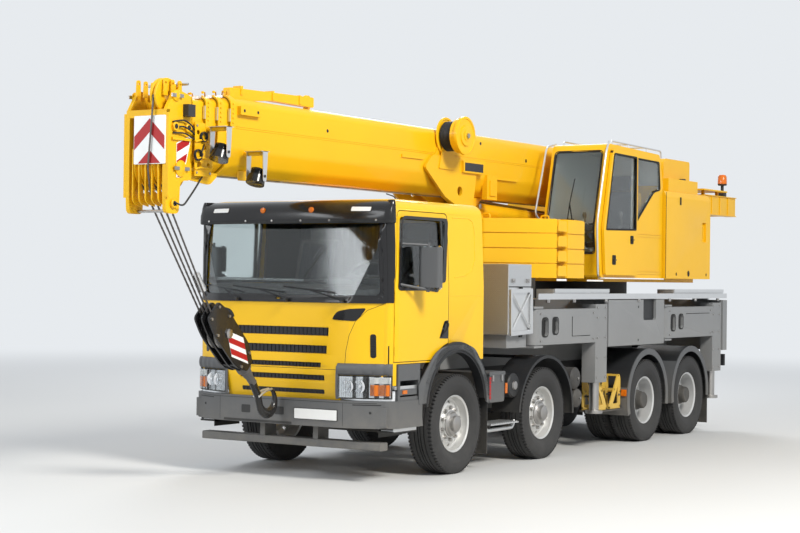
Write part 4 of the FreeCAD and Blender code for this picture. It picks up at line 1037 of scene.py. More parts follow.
def driven_wheel(shape, sign, centre):
    outer, inner = TWIN_X
    turned(shape, sign, outer, centre, RIM_EDGE + [(0.114, 0.285), (0.106, 0.275), (0.02, 0.268),
        (-0.06, 0.262), (-0.075, 0.24), (-0.087, 0.24), (-0.09, 0.275), (-0.112, 0.275)])
    turned(shape, sign, inner, centre, RIM_EDGE[:4] + [(0.118, 0.297), (0.118, 0.28), (-0.118, 0.28)])
    holed_disc(shape, sign * (outer - 0.087), sign * 0.012, 0.242, 0.15, 0.214, 0.0215, centre,
        sign * -0.012)
    turned(shape, sign, outer, centre, [(-0.1, 0.152), (-0.086, 0.152), (-0.08, 0.14), (0.03, 0.125),
        (0.045, 0.112), (0.105, 0.104), (0.118, 0.092), (0.1195, 0.0)], True)
    add_turned(shape, nut_ring, centre + Vector((sign * (outer - 0.088), 0, 0)), sign, 1)


for side, sign in SIDES:
    for number, station in enumerate(AXLE_STATIONS, 1):
        shape = bmesh.new()
        steered = number < 3
        (steered_wheel if steered else driven_wheel)(shape, sign, spot(0, station, HUB_HEIGHT))
        metals = [polished_alloy, bare_steel] if steered else [wheel_silver, frame_paint]
        close_piece(shape, f"wheel_{number}_{side}_disc", f"wheel_{number}_{side}", metals, smooth=30,
            replaces=[f"rim_{number}_{side}"])

# %% [markdown]
# ## Trim that follows the cab
# A cab is pressed sheet with soft curves, and trim on it follows those curves. To place it, a ray is
# sent at the frame's own cab from the front or from the side, and the point where it lands is the
# surface. A trim panel is an outline cut into small cells, dropped onto the surface and given a
# thickness. A seam between two panels is a narrow dark bar along the same surface.

# %% Surface tools
from mathutils.bvhtree import BVHTree


def tree_of(*names):
    shape = bmesh.new()
    for name in names:
        shape.from_mesh(cad_nodes[name].data)
    tree = BVHTree.FromBMesh(shape)
    shape.free()
    return tree


cab_surface = tree_of("driver_cab", "door_left", "door_right", "cab_glass")
LOOKS = {
    # the way of the look, and where the ray for two values starts
    "front": (Vector((0, 1, 0)), lambda a, b: Vector((a, -9, b))),
    "left": (Vector((-1, 0, 0)), lambda a, b: Vector((3, a - MIDDLE_STATION, b))),
}


def land(surface, look, a, b, lift=0.0):
    """The point of a surface seen from one side, lifted off it towards the viewer."""
    direction, origin = LOOKS[look]
    hit = surface.ray_cast(origin(a, b), direction)
    return None if hit[0] is None else hit[0] - direction * lift


def trim(shape, surface, look, outline, thick=0.004, lift=0.0, cell=0.05, paint=0, holes=(), depth=None):
    """A panel that lies on a surface. Its outline is (x, z) or (station, z)."""
    part = bmesh.new()
    edges = outline_edges(part, (outline, *holes), lambda point: (point.x, point.y, 0))
    bmesh.ops.triangle_fill(part, edges=edges, use_beauty=True)
    low = [min(v.co[k] for v in part.verts) for k in range(2)]
    high = [max(v.co[k] for v in part.verts) for k in range(2)]
    for k, normal in ((0, (1, 0, 0)), (1, (0, 1, 0))):
        count = max(1, int((high[k] - low[k]) / cell))
        for n in range(1, count):
            at = Vector((0, 0, 0))
            at[k] = low[k] + (high[k] - low[k]) * n / count
            bmesh.ops.bisect_plane(part, geom=part.verts[:] + part.edges[:] + part.faces[:], plane_co=at,
                plane_no=normal)
    bmesh.ops.dissolve_limit(part, angle_limit=0.01, verts=part.verts, edges=[e for e in part.edges
        if all(abs(f.normal.z) > 0.9 for f in e.link_faces) and e.calc_length() < 1e-5])
    direction = LOOKS[look][0]
    places = {vert: land(surface, look, vert.co.x, vert.co.y, lift) for vert in part.verts}
    known = [p for p in places.values() if p is not None]
    along = direction.dot
    for vert, point in places.items():
        if point is None:
            origin = LOOKS[look][1](vert.co.x, vert.co.y)
            near = min(known, key=lambda q: (q - origin - direction * direction.dot(q - origin)).length)
            point = origin + direction * along(near - origin)
        if depth is not None:
            point = point - direction * (along(point) - depth)
        places[vert] = point
    base = {vert: shape.verts.new(point) for vert, point in places.items()}
    top = {vert: shape.verts.new(point - direction * thick) for vert, point in places.items()}
    made = []
    for face in part.faces:
        made.append(shape.faces.new([top[v] for v in face.verts]))
        made.append(shape.faces.new([base[v] for v in reversed(face.verts)]))
    for edge in part.edges:
        if len(edge.link_faces) == 1:
            a, b = edge.verts
            made.append(shape.faces.new([top[a], top[b], base[b], base[a]]))
    for face in made:
        face.material_index = paint
    bmesh.ops.recalc_face_normals(shape, faces=made)
    part.free()
    return made


def seam(shape, surface, look, points, width=0.006, step=0.04, paint=0, raised=0.0012):
    """A narrow bar along a line on the surface."""
    line = []
    for (a0, b0), (a1, b1) in zip(points, points[1:]):
        count = max(1, int(math.hypot(a1 - a0, b1 - b0) / step))
        line += [(a0 + (a1 - a0) * k / count, b0 + (b1 - b0) * k / count) for k in range(count)]
    line.append(points[-1])
    places = [land(surface, look, a, b, raised - width / 2) for a, b in line]
    places = [p for p in places if p is not None]
    if len(places) > 1:
        pipe(shape, places, width / 2, sides=6, paint=paint)


# %% [markdown]
# ## Windscreen, pillars and wipers
# The windscreen has a wide black border that hides its glue, and the pillars beside it are black too, so
# from outside they read as one dark frame. Three wipers park along its lower edge.

# %% Windscreen frame
SCREEN_HOLE = ((-1.085, 1.845, 0.06), (1.085, 1.845, 0.06), (1.045, 2.6, 0.06), (-1.045, 2.6, 0.06))
SCREEN_EDGE = ((-1.155, 1.768, 0.03), (1.155, 1.768, 0.03), (1.15, 2.12), (1.132, 2.62), (-1.132, 2.62),
    (-1.15, 2.12))
shape = bmesh.new()
trim(shape, cab_surface, "front", SCREEN_EDGE, 0.014, 0.001, 0.03, 0, [SCREEN_HOLE])


def pillar(shape, sign, low, high, rows=24, turns=14):
    """A black skin that wraps from the front round the corner to the door, found by rays aimed at a line."""
    middle = Vector((1.1, spot(0, -1.19, 0).y, 0))
    skins = []
    for lift in (0.0055, 0.001):
        skin = []
        for row in range(rows + 1):
            z = low + (high - low) * row / rows
            line = []
            for turn in range(turns + 1):
                angle = math.radians(14 + 69 * turn / turns)
                away = Vector((math.sin(angle), -math.cos(angle), 0))
                hit = cab_surface.ray_cast(middle + away * 0.4 + Vector((0, 0, z)), -away)[0]
                line.append(hit + away * lift)
            skin.append([shape.verts.new((sign * p.x, p.y, p.z)) for p in line])
        skins.append(skin)
    outer, inner = skins
    made = []
    for a, b in zip(range(rows), range(1, rows + 1)):
        for c, d in zip(range(turns), range(1, turns + 1)):
            made.append(shape.faces.new([outer[a][c], outer[a][d], outer[b][d], outer[b][c]]))
            made.append(shape.faces.new([inner[b][c], inner[b][d], inner[a][d], inner[a][c]]))
    rim = ([(0, c) for c in range(turns)] + [(r, turns) for r in range(rows)] + [(rows, c)
        for c in range(turns, 0, -1)] + [(r, 0) for r in range(rows, 0, -1)])
    for (a, b), (c, d) in zip(rim, rim[1:] + rim[:1]):
        made.append(shape.faces.new([outer[a][b], inner[a][b], inner[c][d], outer[c][d]]))
    bmesh.ops.recalc_face_normals(shape, faces=made)


for sign in (1, -1):
    pillar(shape, sign, 1.775, 2.6)
close_piece(shape, "windscreen_frame", "carrier", gloss_black, smooth=25)


def wiper(shape, foot, elbow, tip_low, tip_high):
    """An arm from its pivot to the middle of a long blade that lies on the glass."""
    foot, elbow = (land(cab_surface, "front", *p, 0.035) for p in (foot, elbow))
    ends = [land(cab_surface, "front", *p, 0.012) for p in (tip_low, tip_high)]
    middle = (ends[0] + ends[1]) / 2
    lathe(shape, [(-0.03, 0.02), (0.012, 0.02), (0.018, 0.012)], foot, "y", 12)
    pipe(shape, [foot, elbow, middle + Vector((0, -0.012, 0))], 0.009, 0.05, 6)
    pipe(shape, [ends[0], middle + Vector((0, -0.006, 0)), ends[1]], 0.008, 0.3, 6)


shape = bmesh.new()
wiper(shape, (0.74, 1.8), (0.6, 1.83), (-0.02, 1.925), (0.62, 1.868))
wiper(shape, (0.06, 1.8), (-0.06, 1.835), (-0.66, 1.925), (0.0, 1.868))
wiper(shape, (-0.56, 1.8), (-0.66, 1.83), (-1.06, 1.93), (-0.52, 1.865))
close_piece(shape, "wipers", "carrier", black_plastic, smooth=40)

# %% [markdown]
# ## Front panel
# Five dark slots run across the panel. In each lies a black sheet with a row of upright bars. Two curved
# vents sit under the windscreen's corners, and a tall narrow one on each corner of the cab. Dark seams
# part the panel from its neighbours.

# %% Grille inserts
SLOTS = ((0.861, 0.912, 0.512), (0.996, 1.053, 0.524), (1.124, 1.177, 0.487), (1.262, 1.346, 0.552),
    (1.438, 1.526, 0.566))
shape = bmesh.new()
for low, high, half in SLOTS:
    trim(shape, cab_surface, "front", rectangle((0.004 - half, half - 0.004), (low + 0.004, high - 0.004),
        0.012), 0.003, 0.0005, 0.08)
    for k in range(23):
        x = -half + 2 * half * (k + 0.5) / 23
        point = land(cab_surface, "front", x, (low + high) / 2, 0.0)
        block(shape, (x - 0.003, x + 0.003), (point.y + MIDDLE_STATION - 0.012, point.y + MIDDLE_STATION),
            (low + 0.008, high - 0.008))
close_piece(shape, "grille_mesh", "carrier", black_plastic, smooth=25)

# %% Vents, seams and handles
shape = bmesh.new()
curved = ((0.6, 1.603, 0.03), (0.655, 1.685, 0.06), (0.8, 1.712), (0.965, 1.722, 0.03),
    (0.875, 1.592, 0.04))
trim(shape, cab_surface, "front", curved, 0.004, 0.0, 0.04)
tall = ((1.005, 1.235, 0.03), (1.058, 1.235, 0.03), (1.052, 1.468, 0.03), (1.0, 1.468, 0.03))
trim(shape, cab_surface, "front", tall, 0.004, 0.0, 0.04)
for k in range(9):
    low = land(cab_surface, "front", 1.008, 1.255 + k * 0.024, 0.007)
    high = land(cab_surface, "front", 1.05, 1.255 + k * 0.024, 0.007)
    pipe(shape, [low, high], 0.0035, sides=5)
close_piece(shape, "cab_vents", "carrier", gloss_black, mirror=True, smooth=30)

CORNER_SEAM = ((1.12, 1.765), (0.97, 1.7), (0.86, 1.59), (0.8, 1.45), (0.77, 1.3), (0.758, 1.118),
    (0.756, 0.93))
shape = bmesh.new()
seam(shape, cab_surface, "front", CORNER_SEAM, 0.007)
add_mirrored(shape)
seam(shape, cab_surface, "front", ((-0.757, 1.112), (0.757, 1.112)), 0.007)
close_piece(shape, "front_seams", "carrier", rubber, smooth=60)

DOOR_FACE = -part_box("door_left")[1][0]
HANDLE = ((-0.372, 1.412, 0.01), (-0.275, 1.59, 0.03), (-0.205, 1.594, 0.01), (-0.205, 1.408, 0.01))
for side, sign in SIDES:
    shape = bmesh.new()
    trim(shape, cab_surface, "left", HANDLE, 0.004, 0.0, 0.04)
    hose(shape, [(1.214, -0.335, 1.435), (1.238, -0.26, 1.5), (1.238, -0.24, 1.56), (1.214, -0.235, 1.582)],
        0.01, 0.03, 8)
    window = ((-1.165, 1.898, 0.05), (-0.62, 1.898), (-0.4, 1.88, 0.04), (-0.385, 1.976, 0.03),
        (-0.262, 1.982, 0.04), (-0.235, 2.636, 0.06), (-1.112, 2.636, 0.07))
    pane = ((-1.13, 1.93, 0.04), (-0.62, 1.93), (-0.45, 1.915, 0.04), (-0.44, 2.008, 0.03),
        (-0.325, 2.012, 0.04), (-0.3, 2.605, 0.05), (-1.092, 2.605, 0.06))
    trim(shape, cab_surface, "left", window, 0.006, 0.0, 0.06, 0, [pane], DOOR_FACE)
    if sign < 0:
        to_right(shape)
    close_piece(shape, f"door_trim_{side}", f"door_{side}", gloss_black, smooth=30)

shape = bmesh.new()
seam(shape, cab_surface, "left", ((-0.09, 2.65), (0.24, 2.655), (0.33, 2.62), (0.36, 2.53), (0.355, 2.22),
    (0.29, 2.11), (0.14, 2.055), (-0.08, 2.035)), 0.018, raised=0.005)
seam(shape, cab_surface, "left", ((-0.17, 1.845), (0.505, 1.845)), 0.012, raised=0.003)
close_piece(shape, "side_creases", "carrier", cab_yellow, mirror=True, smooth=60)

# %% [markdown]
# ## Lamps and bumper
# Each front lamp is a housing with a mirror behind clear glass. Two round dipped and main beam mirrors
# stand side by side, and the turn signal's amber part wraps round the corner. The bumper is a wide
# moulding with narrow slots, two covers over its towing eyes, a step and a blank number plate.

# %% Front lamps
front_surface = tree_of("driver_cab", "headlamps", "front_bumper", "door_left", "door_right")
LAMP_PLAN = []
for k in range(21):
    x = 0.68 + 0.52 * k / 20
    hits = [land(front_surface, "front", min(x, 1.185), z) for z in (0.85, 0.93, 1.02, 1.1)]
    LAMP_PLAN.append(Vector((x, min(hit.y for hit in hits if hit is not None), 0)))


def band(shape, x, z, out, thick, paint, crown=0.0):
    """An upright strip on the left side that follows the front in plan, with a crown if it bulges."""
    count = max(2, int((x[1] - x[0]) / 0.02))
    levels = [0, 1] if crown == 0 else [n / 8 for n in range(9)]
    rows = []
    for k in range(count + 1):
        at = x[0] + (x[1] - x[0]) * k / count
        nearest = min(LAMP_PLAN, key=lambda p: abs(p.x - at))
        near = [p for p in LAMP_PLAN if abs(p.x - at) < 0.04] or [nearest]
        y = sum(p.y for p in near) / len(near)
        outer = [(at, y - out - thick - crown * math.sin(math.pi * t) ** 0.6, z[0] + (z[1] - z[0]) * t)
            for t in levels]
        inner = [(at, y - out, z[0] + (z[1] - z[0]) * t) for t in reversed(levels)]
        rows.append([shape.verts.new(place) for place in outer + inner])
    skinned(shape, rows, paint)


LAMP_LOW, LAMP_HIGH = 0.845, 1.05
shape = bmesh.new()
band(shape, (0.7, 1.196), (LAMP_LOW - 0.012, LAMP_HIGH + 0.012), 0.0, 0.004, 0)
band(shape, (0.712, 1.188), (LAMP_LOW, LAMP_HIGH), 0.003, 0.004, 1)
for x in (0.8, 0.915):
    y = min(LAMP_PLAN, key=lambda p: abs(p.x - x)).y
    place = Vector((x, y - 0.008, 0.955))
    lathe(shape, [(-0.002, 0.066), (-0.012, 0.066), (-0.013, 0.06), (-0.004, 0.03), (-0.002, 0.0)], place,
        "y", 28, 2)
    lathe(shape, [(-0.006, 0.02), (-0.02, 0.016), (-0.021, 0.0)], place, "y", 16, 1)
for k in range(12):
    x = 0.722 + 0.022 * k
    band(shape, (x, x + 0.003), (LAMP_LOW + 0.004, LAMP_HIGH - 0.004), 0.022, 0.002, 4)
band(shape, (0.712, 0.985), (LAMP_LOW, LAMP_HIGH), 0.024, 0.003, 4)
band(shape, (0.985, 1.0), (LAMP_LOW, LAMP_HIGH), 0.0, 0.028, 0)
band(shape, (1.008, 1.186), (0.985, LAMP_HIGH - 0.006), 0.006, 0.012, 5)
band(shape, (1.012, 1.18), (0.866, 0.972), 0.008, 0.012, 3)
band(shape, (1.002, 1.192), (LAMP_LOW, LAMP_HIGH), 0.022, 0.003, 4)
close_piece(shape, "front_lamps", "carrier", [rubber, lamp_mirror, chrome, amber_glass, lamp_glass,
    sign_white], mirror=True, smooth=35)

shape = bmesh.new()
band(shape, (0.69, 1.198), (LAMP_HIGH + 0.014, 1.178), 0.002, 0.006, 0, 0.024)
band(shape, (0.672, 0.7), (0.826, 1.15), 0.002, 0.006, 0, 0.01)
close_piece(shape, "lamp_housings", "carrier", bumper_plastic, mirror=True, smooth=50)

# %% Bumper details
shape = bmesh.new()
trim(shape, front_surface, "front", rectangle((0.86, 1.12), (0.77, 0.78), 0.004), 0.002, 0.0, 0.04)
place = land(front_surface, "front", 1.02, 0.7, 0.0)
lathe(shape, [(0.004, 0.014), (-0.003, 0.013), (-0.005, 0.008), (-0.005, 0.0)], place, "y", 12)
add_mirrored(shape)
seam(shape, front_surface, "front", ((-1.08, 0.792), (1.08, 0.792)), 0.008)
for x in (-0.76, 0.76):
    seam(shape, front_surface, "front", ((x, 0.56), (x, 0.79)))
for x in (-0.42, 0.0):
    trim(shape, front_surface, "front", rectangle((x - 0.055, x + 0.055), (0.64, 0.72), 0.012), 0.002)
trim(shape, front_surface, "front", rectangle((-0.7, 0.15), (0.552, 0.575), 0.006), 0.004, 0.0, 0.06)
close_piece(shape, "bumper_details", "carrier", black_plastic, smooth=35)

shape = bmesh.new()
trim(shape, front_surface, "front", rectangle((0.191, 0.699), (0.614, 0.714), 0.008), 0.003, 0.006, 0.05, 1)
trim(shape, front_surface, "front", rectangle((0.185, 0.705), (0.608, 0.72), 0.008), 0.006)
close_piece(shape, "number_plate", "carrier", [black_plastic, sign_white], smooth=30)

# %% [markdown]
# ## Visor, marker lamps and roof
# The shade over the windscreen carries two narrow lamps, two amber ones and a row of screws. On the roof
# lie a hatch and a short aerial.

# %% Visor and roof
VISOR_PLAN = [(1.203, -1.206), (1.203, -1.232), (1.199, -1.255), (1.186, -1.277), (1.163, -1.293),
    (1.125, -1.304), (1.02, -1.32), (0.9, -1.339), (0.78, -1.353), (0.6, -1.367), (0.4, -1.377),
    (0.2, -1.382), (0, -1.383)]
VISOR_PLAN = VISOR_PLAN + [(-x, station) for x, station in VISOR_PLAN[-2::-1]]
# How far the face lies behind its lower edge at each height, outside and then inside
VISOR_SECTION = [(0.01, 2.556), (0.0, 2.566), (0.0, 2.6), (0.003, 2.65), (0.014, 2.69), (0.036, 2.728),
    (0.07, 2.758), (0.115, 2.778), (0.165, 2.788), (0.165, 2.774), (0.12, 2.763), (0.08, 2.744),
    (0.05, 2.716), (0.03, 2.68), (0.018, 2.645), (0.015, 2.6), (0.015, 2.566)]
shape = bmesh.new()
rows = []
for k, (x, station) in enumerate(VISOR_PLAN):
    before, after = VISOR_PLAN[max(k - 1, 0)], VISOR_PLAN[min(k + 1, len(VISOR_PLAN) - 1)]
    along = Vector((after[0] - before[0], after[1] - before[1], 0)).normalized()
    inwards = Vector((along.y, -along.x, 0))
    lean = 0.12 + 0.88 * abs(inwards.y)
    rows.append([shape.verts.new(spot(x, station, z) + inwards * (back * lean if back > 0.016 else back))
        for back, z in VISOR_SECTION])
skinned(shape, rows)
visor_surface = BVHTree.FromBMesh(shape)
close_piece(shape, "visor_shade", "carrier", gloss_black, smooth=50, replaces=["sun_visor"])

shape = bmesh.new()
strip = ((0.765, 2.676, 0.008), (0.975, 2.674, 0.008), (0.975, 2.716, 0.008), (0.765, 2.718, 0.008))
trim(shape, visor_surface, "front", strip, 0.006, 0.0, 0.04, 1)
frame_outline = ((0.755, 2.666, 0.01), (0.985, 2.664, 0.01), (0.985, 2.726, 0.01), (0.755, 2.728, 0.01))
trim(shape, visor_surface, "front", frame_outline, 0.003, 0.0, 0.04)
for x in (0.18, 0.52, 1.04):
    place = land(visor_surface, "front", x, 2.585, 0.0)
    lathe(shape, [(0.004, 0.011), (-0.003, 0.011), (-0.006, 0.006), (-0.006, 0.0)], place, "y", 10, 2)
add_mirrored(shape)
for x in (-0.3, 0.3):
    place = land(visor_surface, "front", x, 2.69, 0.0)
    lathe(shape, [(0.004, 0.03), (-0.012, 0.028), (-0.018, 0.016), (-0.018, 0.0)], place, "y", 14, 3)
close_piece(shape, "visor_lamps", "carrier", [gloss_black, sign_white, bare_steel, amber_glass], smooth=35)

shape = bmesh.new()
plan_plate(shape, (-0.33, 0.33), (0.15, -0.4), (2.8, 2.812), 0.05)
plan_plate(shape, (-0.36, 0.36), (0.18, -0.43), (2.795, 2.806), 0.06, 1)
hose(shape, [(0.92, -0.75, 2.79), (0.92, -0.8, 2.84), (0.92, -0.95, 2.862)], 0.006, 0.03, 6, 1)
lathe(shape, [(-0.02, 0.02), (0.012, 0.02), (0.02, 0.01), (0.02, 0.0)], spot(0.92, -0.75, 2.8), "z", 12, 1)
close_piece(shape, "roof_fittings", "carrier", [cab_yellow, rubber], smooth=35)

# %% [markdown]
# ## Steps, arch and mirrors
# Two steps with bright edges lead up to each door. The front wheel's arch has a raised lip in a grey
# panel, and a flap hangs behind the wheel. Each mirror housing holds two glasses.

# %% Steps and arch
shape = bmesh.new()
STEP_FRONT, STEP_BACK = -1.205, -0.8
for low, high in ((0.512, 0.548), (0.925, 0.958)):
    block(shape, (1.02, 1.208), (STEP_FRONT, STEP_BACK), (low - 0.012, low + 0.004))
    block(shape, (1.196, 1.212), (STEP_FRONT, STEP_BACK), (low, high), 1)
    for k in range(9):
        station = STEP_FRONT + 0.03 + (STEP_BACK - STEP_FRONT - 0.06) * k / 8
        block(shape, (1.04, 1.196), (station - 0.006, station + 0.006), (low + 0.004, low + 0.012), 1)
block(shape, (1.02, 1.03), (-1.2, -0.78), (0.45, 1.15))
block(shape, (1.02, 1.2), (-0.8, -0.79), (0.49, 0.96))
close_piece(shape, "cab_steps", "carrier", [black_plastic, aluminium], mirror=True, smooth=30)

ARCH_MIDDLE = (-0.05, 0.69)
ARCH_RADIUS = 0.6
shape = bmesh.new()
lip = arc(*ARCH_MIDDLE, ARCH_RADIUS, [math.radians(176 - k * 172 / 24) for k in range(25)])
hose(shape, [(1.24, *point) for point in lip], 0.014, 0, 8)
fender = ((-0.8, 0.76, 0.02), (-0.805, 0.955, 0.02), (-0.69, 1.075, 0.08), (-0.47, 1.285, 0.12),
    (-0.25, 1.338, 0.1), (0.16, 1.338, 0.12), (0.33, 1.285, 0.1), (0.49, 1.08, 0.12), (0.605, 0.9, 0.1),
    (0.612, 0.7, 0.02))
inner = arc(*ARCH_MIDDLE, ARCH_RADIUS, [math.radians(a) for a in range(4, 177, 6)])
side_plate(shape, (*fender, *inner), (1.228, 1.242), 1)
side_plate(shape, ((0.604, 0.16), (0.614, 0.16), (0.614, 0.78), (0.604, 0.78)), (0.93, 1.225))
close_piece(shape, "arch_lips", "carrier", [black_plastic, bumper_plastic], mirror=True, smooth=40)

shape = bmesh.new()
block(shape, (1.212, 1.226), (-1.15, -0.82), (0.868, 0.926))
block(shape, (1.226, 1.234), (-1.09, -1.01), (0.88, 0.916), 1)
close_piece(shape, "side_markers_front", "carrier", [bumper_plastic, amber_glass], mirror=True, smooth=30)

# %% Mirror details
for side, sign in SIDES:
    shape = bmesh.new()
    for limits in ((2.065, 2.345), (1.905, 2.045)):
        cross_plate(shape, rectangle((1.245, 1.465), limits, 0.03), (-0.772, -0.764))
    if sign < 0:
        to_right(shape)
    close_piece(shape, f"mirror_glass_{side}", f"door_{side}", chrome, smooth=30)

# %% [markdown]
# ## Between the axles
# Behind the cab hang the battery box with a round tank beside it and a bright step under both, the air
# tanks with their bands and hoses, and two yellow wheel chocks in a rack. The tool box is checker plate,
# and a light frame with two crossed bars is clipped to its outer face.

# %% Boxes, step and chocks
shape = bmesh.new()
block(shape, (0.98, 1.232), (0.68, 1.3), (0.452, 0.466))
for k in range(12):
    station = 0.71 + 0.56 * k / 11
    block(shape, (0.99, 1.225), (station - 0.008, station + 0.008), (0.466, 0.474))
hose(shape, [(1.16, 0.66, 0.47), (1.16, 0.7, 0.395), (1.16, 1.28, 0.395), (1.16, 1.32, 0.47)], 0.021, 0.06,
    12)
for station in (0.78, 1.22):
    hose(shape, [(0.62, station, 0.47), (0.62, station, 0.43), (1.16, station, 0.43)], 0.016, 0.03, 8, 1)
close_piece(shape, "side_step", "carrier", [aluminium, frame_paint], smooth=35)

shape = bmesh.new()
side_plate(shape, rectangle((0.685, 1.015), (0.7, 1.015), 0.03), (1.02, 1.205))
side_plate(shape, rectangle((0.675, 1.025), (0.985, 1.028), 0.02), (1.01, 1.212))
for station in (0.75, 0.95):
    block(shape, (1.205, 1.218), (station - 0.018, station + 0.018), (0.925, 0.99), 1)
lathe(shape, [(1.02, 0.135), (1.19, 0.135), (1.205, 0.12), (1.208, 0.0)], spot(0, 1.24, 0.86), "x", 36, 2)
lathe(shape, [(1.205, 0.05), (1.222, 0.045), (1.226, 0.0)], spot(0, 1.24, 0.86), "x", 20, 1)
for k in range(4):
    hose(shape, [(0.62, 1.1 + 0.03 * k, 1.0), (0.98, 1.12 + 0.02 * k, 0.96 - 0.04 * k),
        (1.04, 1.24, 0.8 + 0.05 * k)], 0.009, 0.1, 7, 2)
# Reflective strip on the box's front corner, and a marker on a bracket behind it
for k in range(6):
    block(shape, (1.2048, 1.2065), (0.688, 0.722), (0.735 + 0.04 * k, 0.77 + 0.04 * k), 3)
block(shape, (1.15, 1.205), (1.012, 1.03), (0.78, 0.9), 2)
block(shape, (1.19, 1.212), (1.03, 1.075), (0.785, 0.895), 4)
close_piece(shape, "battery_box", "carrier", [bumper_plastic, bare_steel, black_plastic, sign_red,
    amber_glass], smooth=35)

CHOCK = ((0.0, 0.0, 0.01), (0.31, 0.0, 0.01), (0.31, 0.045), (0.085, 0.4, 0.03), (0.03, 0.42, 0.02),
    (0.0, 0.36))
CHOCK_HOLE = ((0.06, 0.06), (0.21, 0.06), (0.07, 0.28))
CHOCK_FOOT = 0.455
for side, sign in SIDES:
    shape = bmesh.new()
    for start, way in ((3.35, 1), (4.05, -1)):
        outline = [(start + way * a, CHOCK_FOOT + b, *rest) for a, b, *rest in CHOCK][::way]
        hole = [(start + way * a, CHOCK_FOOT + b, 0.02) for a, b in CHOCK_HOLE][::way]
        for low in (0.985, 1.15):
            side_plate(shape, outline, (sign * low, sign * (low + 0.016)), 0, [hole])
        for a, b in ((0.3, 0.01), (0.17, 0.23), (0.06, 0.4), (0.01, 0.02), (0.01, 0.2)):
            station = start + way * a
            block(shape, (sign * 0.985, sign * 1.166), (station - 0.01, station + 0.01),
                (CHOCK_FOOT + b - 0.008, CHOCK_FOOT + b + 0.016))
    for station in (3.4, 4.0):
        hose(shape, [(sign * 0.45, station, 0.62), (sign * 1.18, station, 0.62)], 0.013, 0, 8, 1)
    block(shape, (sign * 0.96, sign * 1.19), (3.34, 4.06), (0.434, 0.45), 1)
    close_piece(shape, f"wheel_chocks_{side}", "carrier", [chock_yellow, frame_paint], smooth=35)

# %% Air tanks and hoses
shape = bmesh.new()
for station, z, radius in ((2.83, 0.87, 0.13), (2.89, 0.635, 0.11)):
    for along in (0.62, 0.98):
        lathe(shape, [(along, radius + 0.004), (along + 0.03, radius + 0.004)], spot(0, station, z), "x",
            36, 1)
    lathe(shape, [(1.148, radius - 0.004), (1.166, radius * 0.86), (1.18, radius * 0.5), (1.184, 0.0)],
        spot(0, station, z), "x", 36, 2)
    lathe(shape, [(1.18, 0.016), (1.2, 0.016), (1.204, 0.0)], spot(0, station, z), "x", 6, 1)
for k, (station, z) in enumerate(((2.7, 0.72), (2.86, 0.95), (2.72, 1.02))):
    hose(shape, [(0.46, station, z), (0.8, station + 0.05, z - 0.03), (0.95, station + 0.25, z - 0.06),
        (0.8, station + 0.42, z - 0.1)], 0.011, 0.12, 8)
for side in (1, -1):
    for k in range(3):
        hose(shape, [(side * 0.44, -0.4, 0.7 + 0.05 * k), (side * 0.44, 7.0, 0.72 + 0.05 * k)], 0.008, 0, 6)
close_piece(shape, "chassis_hoses", "carrier", [black_plastic, bare_steel, frame_paint], smooth=40)

# %% Tool box fittings
shape = bmesh.new()
block(shape, (1.24, 1.2425), (1.035, 1.535), (1.43, 1.93), 1)
block(shape, (1.2405, 1.2445), (1.025, 1.545), (1.936, 1.946))
for station in (1.12, 1.45):
    block(shape, (1.24, 1.256), (station - 0.03, station + 0.03), (1.985, 2.03), 2)
    lathe(shape, [(1.24, 0.016), (1.262, 0.016), (1.266, 0.0)], spot(0, station, 2.008), "x", 12, 2)
outer = ((1.03, 1.915, 0.012), (1.535, 1.925, 0.012), (1.545, 1.425, 0.012), (1.04, 1.405, 0.012))
inner = ((1.075, 1.872, 0.008), (1.492, 1.88, 0.008), (1.5, 1.47, 0.008), (1.085, 1.452, 0.008))
side_plate(shape, outer, (1.247, 1.268), 1, [inner])
hose(shape, [(1.256, 1.08, 1.46), (1.256, 1.495, 1.875)], 0.01, 0, 8, 1)
hose(shape, [(1.262, 1.08, 1.868), (1.262, 1.495, 1.475)], 0.01, 0, 8, 1)
for z in (1.93, 1.4):
    block(shape, (1.238, 1.262), (1.26, 1.31), (z - 0.012, z + 0.014))
close_piece(shape, "tool_box_fittings", "carrier", [rubber, aluminium, bare_steel], smooth=30)

# %% [markdown]
# ## Outriggers
# Each outrigger is a box beam that swings out, with a jack at its end. The front ones have a raised panel
# with dark bars of painted shadow along its left and bottom edges, the rear ones have one seam, and bolts
# sit on every arm and leg. The pieces ride on the outrigger, so they swing with it.

# %% Outrigger fittings
small_bolt = hex_head("small_bolt", 0.019, 0.01, 0.013)
OUTRIGGER_FACE = 1.2305
# Stations of the leg's middle and of the front and rear end of the arm's wall
OUTRIGGERS = {"front": (3.36, 1.73, 3.2), "rear": (6.98, 5.33, 6.83)}
for side, sign in SIDES:
    face = sign * OUTRIGGER_FACE
    for end, (leg, front, back) in OUTRIGGERS.items():
        body = f"outrigger_{end}_{side}"
        shape = bmesh.new()
        if end == "front":
            block(shape, (face, face + sign * 0.005), (2.585, 3.05), (1.375, 1.6))
            # Dark bars along the panel's left and bottom edges are painted shadow of the raised panel
            hose(shape, [(face, 2.585, 1.6), (face, 2.585, 1.375), (face, 3.05, 1.375)], 0.006, 0, 6, 1)
        else:
            hose(shape, [(face, front + 0.6, 1.6), (face, back - 0.1, 1.6)], 0.004, 0, 5, 1)
        close_piece(shape, f"{body}_fittings", body, [grey_paint, rubber], smooth=40)
        places = [(station, z) for station in (front + 0.07, back - 0.06) for z in (1.33, 1.64)]
        places += [(leg + a, z) for a in (-0.11, 0.11) for z in (0.86, 1.1, 1.34, 1.58, 1.7)]
        heads = points_mesh([(spot(face, *place), (sign, 0, 0)) for place in places])
        mesh = grown_mesh(point_tree, {"Shape": small_bolt, "Size": 1.0, "Finish": bare_steel}, heads)
        place_piece(f"{body}_bolts", mesh, body, bare_steel, 30)

